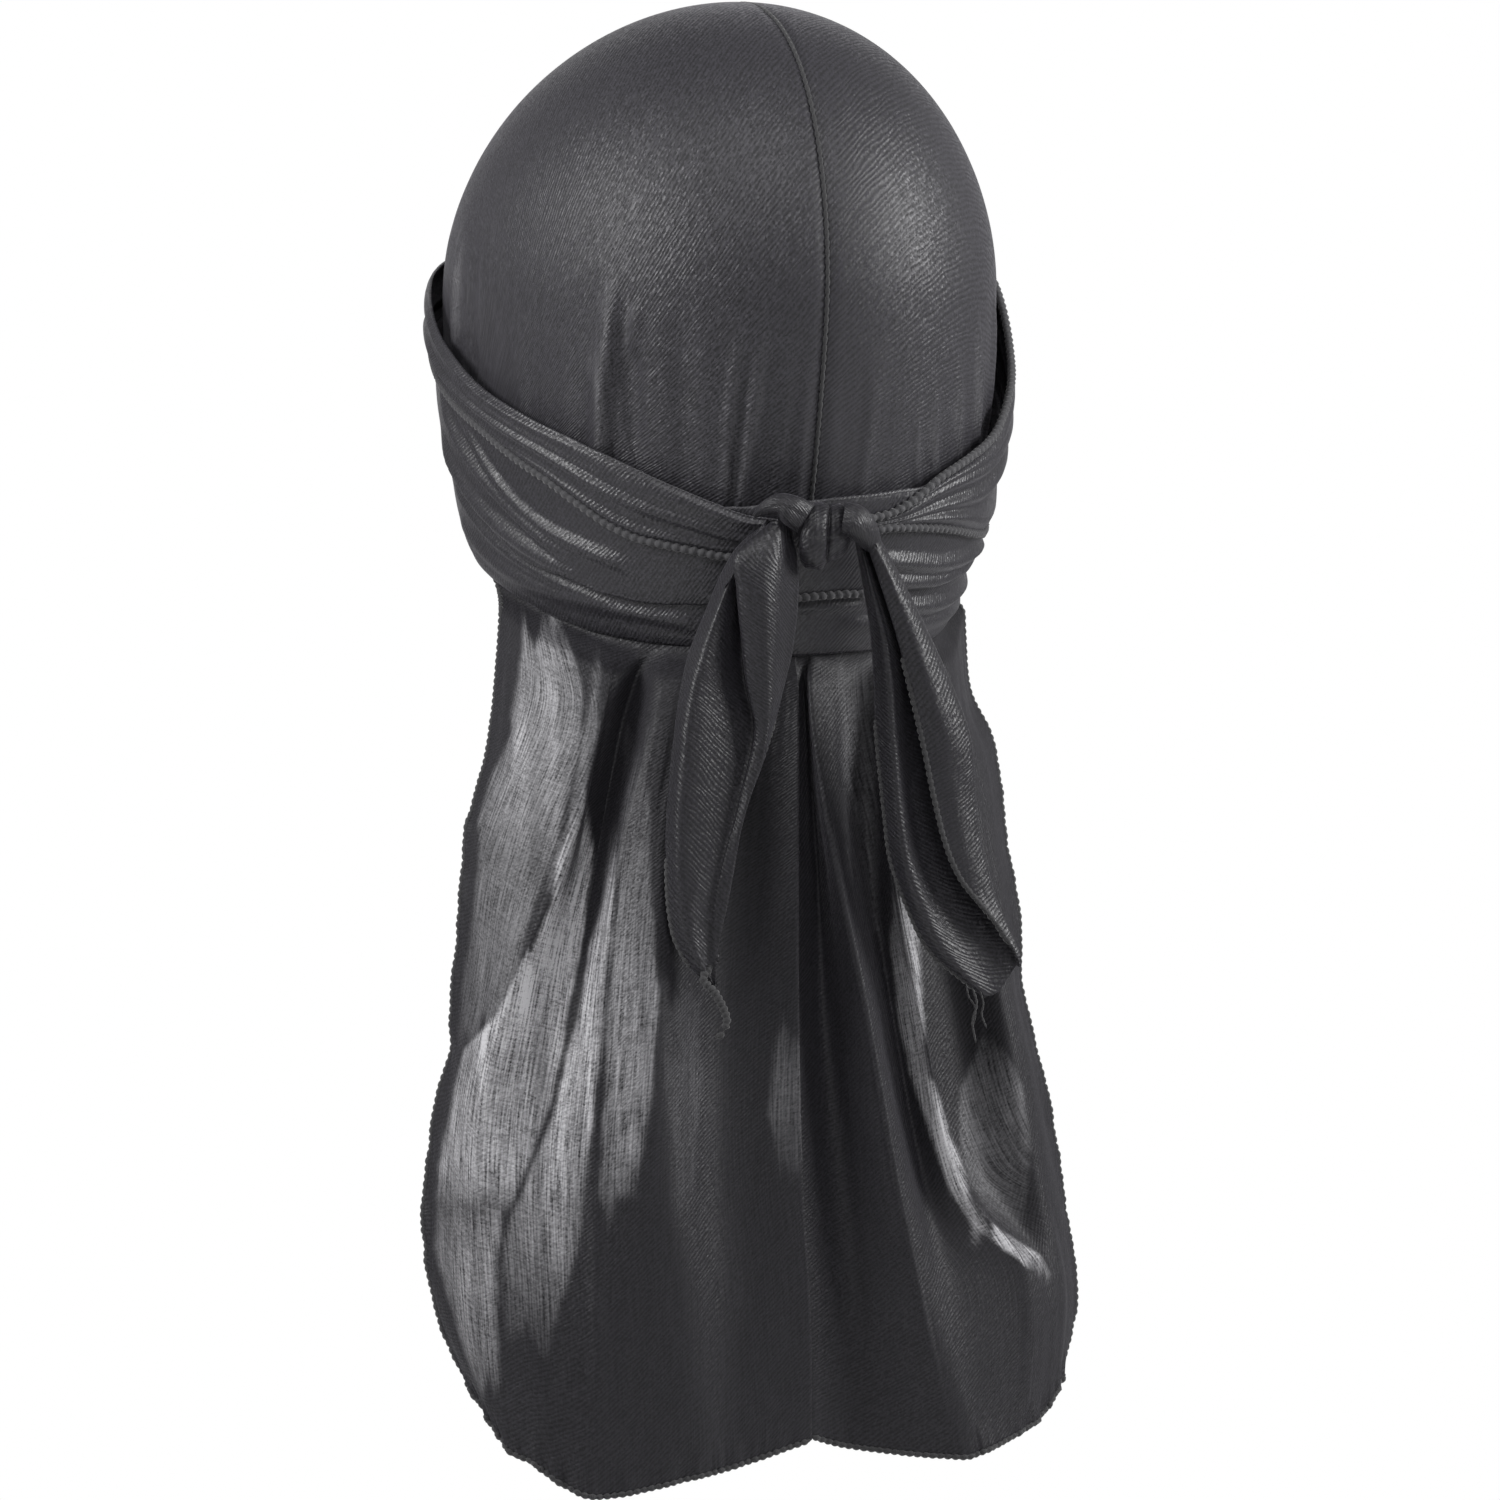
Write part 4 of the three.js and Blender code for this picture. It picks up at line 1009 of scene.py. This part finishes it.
def flap_relief(grid, places, keys, lines, crests, seed):
    """Thin creases, soft unevenness and fine vertical wrinkles, faded out under the wrap."""
    rows, columns = grid.shape[:2]
    t = np.clip((np.arange(rows) - SEATED_ROWS) / (rows - SEATED_ROWS - 1), 0, 1)[:, None]
    across = places[None, :]
    lift = np.zeros((rows, columns))
    for line, height in crests.items():
        k = [row["line"] for row in lines].index(line)
        lift += height * bump(across - keys[k], 2.6) * ease(t, 0.08, 0.3) * (1 - ease(t, 0.8, 1.0))
    gather = ripple(across / 3.4, t * 5.0, seed) * (1 - ease(t, 0.1, 0.5)) * 0.55
    soft = ripple(across / 15.0, t * 5.0, seed + 1) * 0.8
    fine = ripple(across / 4.6, t * 9.0, seed + 2, octaves=3) * 0.16
    side_frill = ripple(t * 34.0, 0.0 * across, seed + 3)
    side_frill = ease(across, keys[-1] - 7.0, keys[-1]) * ease(t, 0.1, 0.3) * side_frill
    hem_frill = ease(t, 0.955, 1.0) * ripple(across / 2.6, 0.0 * t, seed + 4)
    fade = ease(t, 0.0, 0.12) * ease(across, 0.0, 6.0)
    return (lift + gather + soft + fine + side_frill + 0.9 * hem_frill) * fade


def make_flap(satin, stitch):
    hems = []
    for side, name, lines, seed in ((1, "left", LEFT_FLAP, 71), (-1, "right", RIGHT_FLAP, 83)):
        grid, places, keys = flap_grid(lines, 190, 170)
        normal = facing_back(grid_normals(grid))
        lift = flap_relief(grid, places, keys, lines, FLAP_CRESTS[name], seed)
        grid = grid + normal * lift[..., None]
        grid[..., 0] += side * FLAP_SEAM_GAP
        piece = cloth_piece("flap_" + name + "_satin", grid, satin, outward=np.array([0.0, 1.0, 0.0]),
                            uv=cloth_uv(grid, side))
        # Painted light on the flap: light shining through the thin cloth and highlights on its folds
        mark_painted_light(piece, grid, PAINTED_LIGHT_BANDS["flap_" + name])
        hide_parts("flap_" + name)
        normal = facing_back(grid_normals(grid))
        first = SEATED_ROWS - 6
        edge = np.concatenate([grid[first:, -1], grid[-1, -2::-1]])
        away = np.concatenate([normal[first:, -1], normal[-1, -2::-1]])
        hems.append(edge_run(edge, away, HEM_STITCH))
    hem = stitched_piece("flap_hem_stitching", hems, stitch)


# Free ends

# Lines from one edge of each free end to the other, from the knot to the tip, as the flap's
LEFT_TAIL = (
    ((9.4, 142.8, 74), (0.4, 151, 73), (-7.7, 168, 73), (-13.8, 186, 73), (-18.2, 217, 73.5),
     (-19.0, 233, 73.5), (-17.4, 256, 74), (-12.0, 267, 74.5), (-6.2, 272, 75)),
    ((9.9, 142.8, 78), (2.2, 153, 80.5), (-4.7, 170, 81), (-10.0, 189, 80.5), (-13.6, 217, 80),
     (-14.4, 233, 79.5), (-13.0, 256, 78.5), (-9.3, 266, 77.5), (-5.4, 272, 76)),
    ((10.6, 143, 74), (2.9, 152, 74), (2.2, 170, 74.5), (2.6, 186, 75), (4.8, 200, 76.5), (0.4, 220, 78),
     (-6.0, 248, 77.5), (-7.2, 265, 76.5), (-5.2, 272, 76)),
    ((10.3, 143.2, 80), (1.0, 152, 82.5), (1.3, 162, 82.5), (2.4, 176, 81.5), (4.0, 190, 81),
     (6.0, 202, 80.5), (2.2, 220, 79.5), (-4.3, 248, 78.5), (-5.0, 272, 76.5)),
    ((12.6, 143.8, 82.5), (9.6, 160, 86), (10.0, 176, 85), (10.4, 193, 83), (8.8, 207, 81.5),
     (3.0, 225, 80.5), (-1.5, 248, 79), (-4.6, 264, 77), (-4.9, 272, 76)),
    ((15.8, 144, 78), (18.0, 158, 78), (16.8, 176, 77), (13.2, 193, 76), (9.0, 207, 75.5), (3.7, 221, 75),
     (-0.4, 235, 75), (-3.2, 246, 75), (-4.7, 259, 75), (-5.6, 272, 75)),
)

RIGHT_TAIL = (
    ((33.2, 145, 76), (35.6, 158, 75), (38.4, 176, 74), (39.8, 203, 73.5), (41.8, 226, 73), (43.4, 237, 73),
     (48.4, 251, 73.5), (54.8, 263, 74), (64.2, 271, 74.5), (69.8, 275.5, 75)),
    ((34.0, 144.6, 80), (37.4, 158, 81), (41.8, 176, 81), (44.4, 203, 79.5), (46.4, 226, 78.5),
     (48.0, 237, 78), (52.4, 250, 77.5), (58.4, 262, 77), (66.0, 270.6, 76.5), (70.4, 275, 76)),
    ((34.6, 144.2, 79), (39.4, 158, 77), (46.4, 179, 75.5), (49.0, 203, 75), (50.6, 220, 74.5),
     (53.4, 236, 74.5), (58.0, 249, 74.5), (64.6, 260, 75), (70.0, 268, 75), (73.6, 273.6, 75.5)),
    ((36.2, 143.2, 76), (43.4, 157, 76), (53.2, 179, 75), (60.6, 203, 73.5), (64.0, 220, 73),
     (67.4, 238, 73), (71.4, 252, 73.5), (75.0, 259, 74), (77.6, 264, 74.5), (78.4, 266.6, 75)),
    ((37.2, 142.8, 79), (45.4, 157.6, 79.5), (56.0, 179, 78.5), (65.2, 203, 77), (67.4, 224, 76),
     (71.6, 245, 75.5), (76.4, 257.6, 75.5), (78.9, 263, 75.5), (79.3, 265, 75.4), (79.3, 266.8, 75.4)),
    ((36.0, 143, 82), (43.4, 158, 84), (51.2, 179, 83.5), (59.4, 204, 81.5), (62.4, 223, 79.5),
     (67.4, 244, 78), (74.8, 258, 77), (78.2, 263, 76.4), (78.9, 265, 76), (78.9, 266.6, 76)),
    ((35.2, 143.4, 81), (40.6, 159, 82), (47.2, 181, 81), (53.2, 207, 80), (56.0, 221, 79.4),
     (59.0, 233, 79), (63.2, 242.6, 78.4), (69.6, 251, 78), (76.6, 260.4, 77), (78.7, 265.4, 76.4)),
)


# Overlocked edges of each free end: column, and the shares of its length where it starts and ends
TAIL_BRAIDS = {"left": ((-1, 0.42, 0.97), (0, 0.72, 0.97)), "right": ((0, 0.4, 0.99), (-1, 0.3, 0.97))}

# The curled thread at the left tip and the frayed threads at the right one
TAIL_THREADS = (
    (((-5.6, 266, 76), (-8.4, 270, 77), (-4.9, 274.3, 78.5), (-1.9, 281.0, 79), (-2.6, 284.6, 78.5)), 2.4),
    (((-2.6, 284.6, 78.5), (-3.6, 285.8, 78), (-5.2, 286.2, 77.4)), 2.0),
    (((66.4, 272.4, 76), (67.6, 277.0, 76.5), (66.4, 282.0, 76), (67.4, 288.0, 75)), 0.7),
    (((68.4, 272.8, 76), (69.4, 277.0, 76), (69.0, 280.0, 75.4), (70.4, 284.0, 75)), 0.6),
    (((64.6, 271.0, 76), (65.4, 275.0, 76), (67.2, 278.0, 76.4), (66.8, 283.0, 76)), 0.5),
)


def tail_grid(lines, rows, columns, seed):
    t = np.linspace(0.0, 1.0, rows)
    grid, places, _ = between_lines([line_points(line, t) for line in lines], columns)
    across = places[None, :]
    along = t[:, None]
    normal = grid_normals(grid)
    fade = np.clip(np.minimum(along / 0.06, (1 - along) / 0.1), 0, 1)
    pulled = ripple(across / 2.6, along * 3.0, seed) * 0.45 * (1 - ease(along, 0.05, 0.5))
    soft = ripple(across / 7.0, along * 9.0, seed + 1) * 0.4
    return grid + normal * ((pulled + soft) * fade)[..., None]


def make_tails(satin, stitch):
    edges = []
    for name, lines, seed in (("left", LEFT_TAIL, 101), ("right", RIGHT_TAIL, 107)):
        grid = tail_grid(lines, 170, 64, seed)
        piece = cloth_piece("tail_" + name + "_satin", grid, satin, outward=np.array([0.0, 1.0, 0.0]))
        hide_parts("tail_" + name)
        normal = facing_back(grid_normals(grid))
        for column, start, end in TAIL_BRAIDS[name]:
            rows = slice(int(start * len(grid)), int(end * len(grid)))
            edges.append(edge_run(grid[rows, column], normal[rows, column], TAIL_STITCH))
    for path, width in TAIL_THREADS:
        path = line_points(path, np.linspace(0.0, 1.0, 40))
        edges.append((path, np.tile([0.0, 1.0, 0.0], (len(path), 1)), width, width * 0.8, 1.6))
    braid = stitched_piece("tail_edge_stitching", edges, stitch)


# Knot

# The knot's bands from its left end to its right end, in millimetres about the knot's middle
KNOT_MIDDLE = (25.6, 147.0, 78.6)
KNOT_SECTIONS = table(
    "across high low thick",
    (-7.0, 2.0, 3.0, 3.0),
    (-6.6, 7.6, 6.0, 5.0),
    (-5.0, 9.0, 8.8, 6.4),
    (-2.4, 9.2, 9.3, 7.2),
    (0.0, 9.0, 8.9, 6.8),
    (0.7, 8.2, 7.8, 5.4),
    (1.4, 8.8, 7.6, 6.3),
    (3.4, 8.9, 6.6, 6.6),
    (5.6, 7.4, 5.4, 5.6),
    (6.9, 5.2, 3.4, 4.0),
    (7.4, 2.0, 1.2, 2.0),
)


def knot_points(rings, sides):
    place = np.linspace(0.0, 1.0, rings)
    keys = [row["across"] for row in KNOT_SECTIONS]
    across = keys[0] + (keys[-1] - keys[0]) * (0.5 - 0.5 * np.cos(place * math.pi))
    high, low, thick = (read_table(KNOT_SECTIONS, "across", across, column)[:, None]
                        for column in ("high", "low", "thick"))
    spin = np.linspace(0.0, 2 * math.pi, sides, endpoint=False)[None, :]
    rise = np.sin(spin)
    tall = np.where(rise > 0, high, low)
    crinkle = 1 + 0.045 * ripple(across[:, None] / 0.8 + 0.5 * np.sin(spin), 1.6 * np.cos(spin), 5, octaves=3)
    back = KNOT_MIDDLE[2] + thick * np.cos(spin) * crinkle
    down = KNOT_MIDDLE[1] - tall * np.sign(rise) * np.abs(rise) ** 0.82 * crinkle
    lean = 0.6 * np.sin(spin)
    shown = KNOT_MIDDLE[0] + across[:, None] + lean
    return in_view(shown, down, back)


# Cloth pinched into the knot on its left and right: places as the flap's lines, half height and thickness
KNOT_WINGS = {
    "left": ((5.6, 141.6, 76, 0.6, 1.2), (8.6, 139.6, 79, 2.0, 2.4), (12.8, 138.4, 81.5, 3.2, 3.4),
             (16.4, 139.6, 82.5, 4.2, 3.8), (20.4, 142.0, 81, 4.6, 3.6)),
    "right": ((30.4, 142.4, 81.5, 4.8, 4.0), (33.8, 143.0, 83, 4.6, 4.2), (36.6, 146.0, 82.5, 3.9, 3.6),
              (38.8, 149.6, 80.5, 2.6, 2.6), (40.0, 152.8, 78, 0.8, 1.2)),
}


def wing_points(sections, rings, sides, seed):
    """A crinkled, flattened roll through its sections."""
    sections = np.asarray(sections, float)
    at = curve_through(np.linspace(0, 1, len(sections)), sections, np.linspace(0, 1, rings))
    spin = np.linspace(0.0, 2 * math.pi, sides, endpoint=False)[None, :]
    crinkle = 1 + 0.16 * ripple(spin * 1.7, at[:, :1] / 6.0, seed, octaves=3)
    rise = at[:, 3:4] * np.sin(spin) * crinkle
    run = np.gradient(at[:, :2], axis=0)
    run /= np.linalg.norm(run, axis=1, keepdims=True)
    shown = at[:, 0:1] - run[:, 1:2] * rise
    down = at[:, 1:2] + run[:, 0:1] * rise
    return in_view(shown, down, at[:, 2:3] + at[:, 4:5] * np.cos(spin) * crinkle)


def make_knot(satin):
    rings, sides = 90, 96
    lump = rolled_piece("knot_satin", knot_points(rings, sides), satin)
    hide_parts("knot")
    for side, seed in (("left", 9), ("right", 13)):
        rolled_piece("knot_" + side + "_gather", wing_points(KNOT_WINGS[side], 44, 64, seed), satin)


# How much cloth a roll of the knot takes along and round it, in millimetres
ROLL_LENGTH = 18.0
ROLL_GIRTH = 50.0


def rolled_piece(name, points, satin):
    """A closed, stuffed roll from rings of points."""
    rings, sides = points.shape[:2]
    faces = tube_faces(rings, sides)
    flat = points.reshape(-1, 3)
    volume = np.einsum("ij,ij->", flat[faces[:, 0]], np.cross(flat[faces[:, 1]], flat[faces[:, 2]]))
    if volume < 0:
        faces = faces[:, ::-1]
    spin = np.linspace(0.0, 1.0, sides, endpoint=False)
    along = np.linspace(0.0, ROLL_LENGTH, rings)
    uv = np.stack(np.broadcast_arrays(along[:, None], spin[None, :] * ROLL_GIRTH), -1).reshape(-1, 2) * MM
    piece = add_mesh(name, flat, faces, uv, satin)
    return piece


# Camera, light and stage

SENSOR_WIDTH = 36.0
CLIP_END = 20.0


def make_camera():
    data = bpy.data.cameras.new("camera")
    data.sensor_width = SENSOR_WIDTH
    data.lens = SENSOR_WIDTH * VIEW_DISTANCE / PICTURE_WIDTH
    data.clip_end = CLIP_END
    camera = bpy.data.objects.new("camera", data)
    bpy.context.collection.objects.link(camera)
    camera.location = (VIEW_TARGET + VIEW_BACK * VIEW_DISTANCE) * MM
    camera.rotation_euler = (math.radians(90), 0.0, math.radians(VIEW_AZIMUTH))
    bpy.context.scene.camera = camera


# Lights point at the middle of the object. Their sizes and distances are in metres.
LIT_MIDDLE = np.array([0.0, 0.0, -0.2])


def soft_light(name, azimuth, elevation, distance, size, power):
    data = bpy.data.lights.new(name, "AREA")
    data.shape = "RECTANGLE"
    data.size, data.size_y = size
    data.energy = power
    light = bpy.data.objects.new(name, data)
    bpy.context.collection.objects.link(light)
    angle, rise = math.radians(azimuth), math.radians(elevation)
    away = np.array([math.sin(angle) * math.cos(rise), -math.cos(angle) * math.cos(rise), math.sin(rise)])
    light.location = LIT_MIDDLE + away * distance
    light.rotation_euler = (math.acos(away[2]), 0.0, math.atan2(away[0], -away[1]))


# The floor, in metres
FLOOR_DROP = 0.75
FLOOR_RADIUS = 3.0


def make_floor():
    turn = np.linspace(0.0, 2 * math.pi, 96, endpoint=False)
    mesh = bpy.data.meshes.new("floor")
    mesh.from_pydata([(FLOOR_RADIUS * math.cos(a), FLOOR_RADIUS * math.sin(a), -FLOOR_DROP) for a in turn],
                     [], [tuple(range(len(turn)))])
    floor = bpy.data.objects.new("floor", mesh)
    bpy.context.collection.objects.link(floor)
    material = bpy.data.materials.new("pale_floor")
    material.use_nodes = True
    shader = material.node_tree.nodes["Principled BSDF"]
    shader.inputs["Base Color"].default_value = (0.88, 0.88, 0.88, 1)
    shader.inputs["Roughness"].default_value = 0.9
    mesh.materials.append(material)


def make_world(seen, lighting):
    """A plain white surround, shown brighter than it lights."""
    world = bpy.data.worlds.new("studio")
    world.use_nodes = True
    tree = world.node_tree
    background = tree.nodes["Background"]
    background.inputs["Color"].default_value = (1, 1, 1, 1)
    path = node(tree, "ShaderNodeLightPath")
    strength = maths(tree, "MULTIPLY_ADD", path.outputs["Is Camera Ray"], seen - lighting, lighting)
    tree.links.new(strength, background.inputs["Strength"])
    bpy.context.scene.world = world


LIGHTS = table(
    "name azimuth elevation distance size power",
    ("key", 96, 26, 1.15, (0.45, 0.45), 9.5),
    ("fill", 244, 24, 1.2, (0.45, 0.45), 12),
    ("top", 164, 48, 1.6, (1.2, 0.7), 11),
    ("front", -18, 20, 2.2, (1.6, 1.6), 6),
)


def make_studio():
    bpy.context.scene.view_settings.view_transform = "Standard"
    make_floor()
    make_world(1.0, 0.22)
    for light in LIGHTS:
        soft_light(**light)


# The satin of each sub-part. The tails and flap are darker copies of the same satin: their lower shade is
# painted shade. The last column says which take the painted light map.
SATINS = table(
    "name shade roughness specular grain streak slub sheer",
    ("crown_satin", 1.0, 0.52, 0.45, 1.0, 0.15, 0.05, True),
    ("wrap_satin", 0.9, 0.42, 0.5, 0.9, 0.3, 0.05, False),
    ("tail_satin", 0.65, 0.42, 0.36, 0.9, 0.4, 0.1, False),
    ("flap_satin", 0.55, 0.52, 0.27, 0.8, 0.8, 0.4, True),
)

crown_satin, wrap_satin, tail_satin, flap_satin = (satin_twill(**row) for row in SATINS)
stitch = thread("stitching", 0.8)
braid = thread("strap_braid", 1.7)
make_camera()
make_crown(crown_satin, stitch)
make_straps(wrap_satin, braid)
make_flap(flap_satin, stitch)
make_tails(tail_satin, stitch)
make_knot(tail_satin)
make_studio()
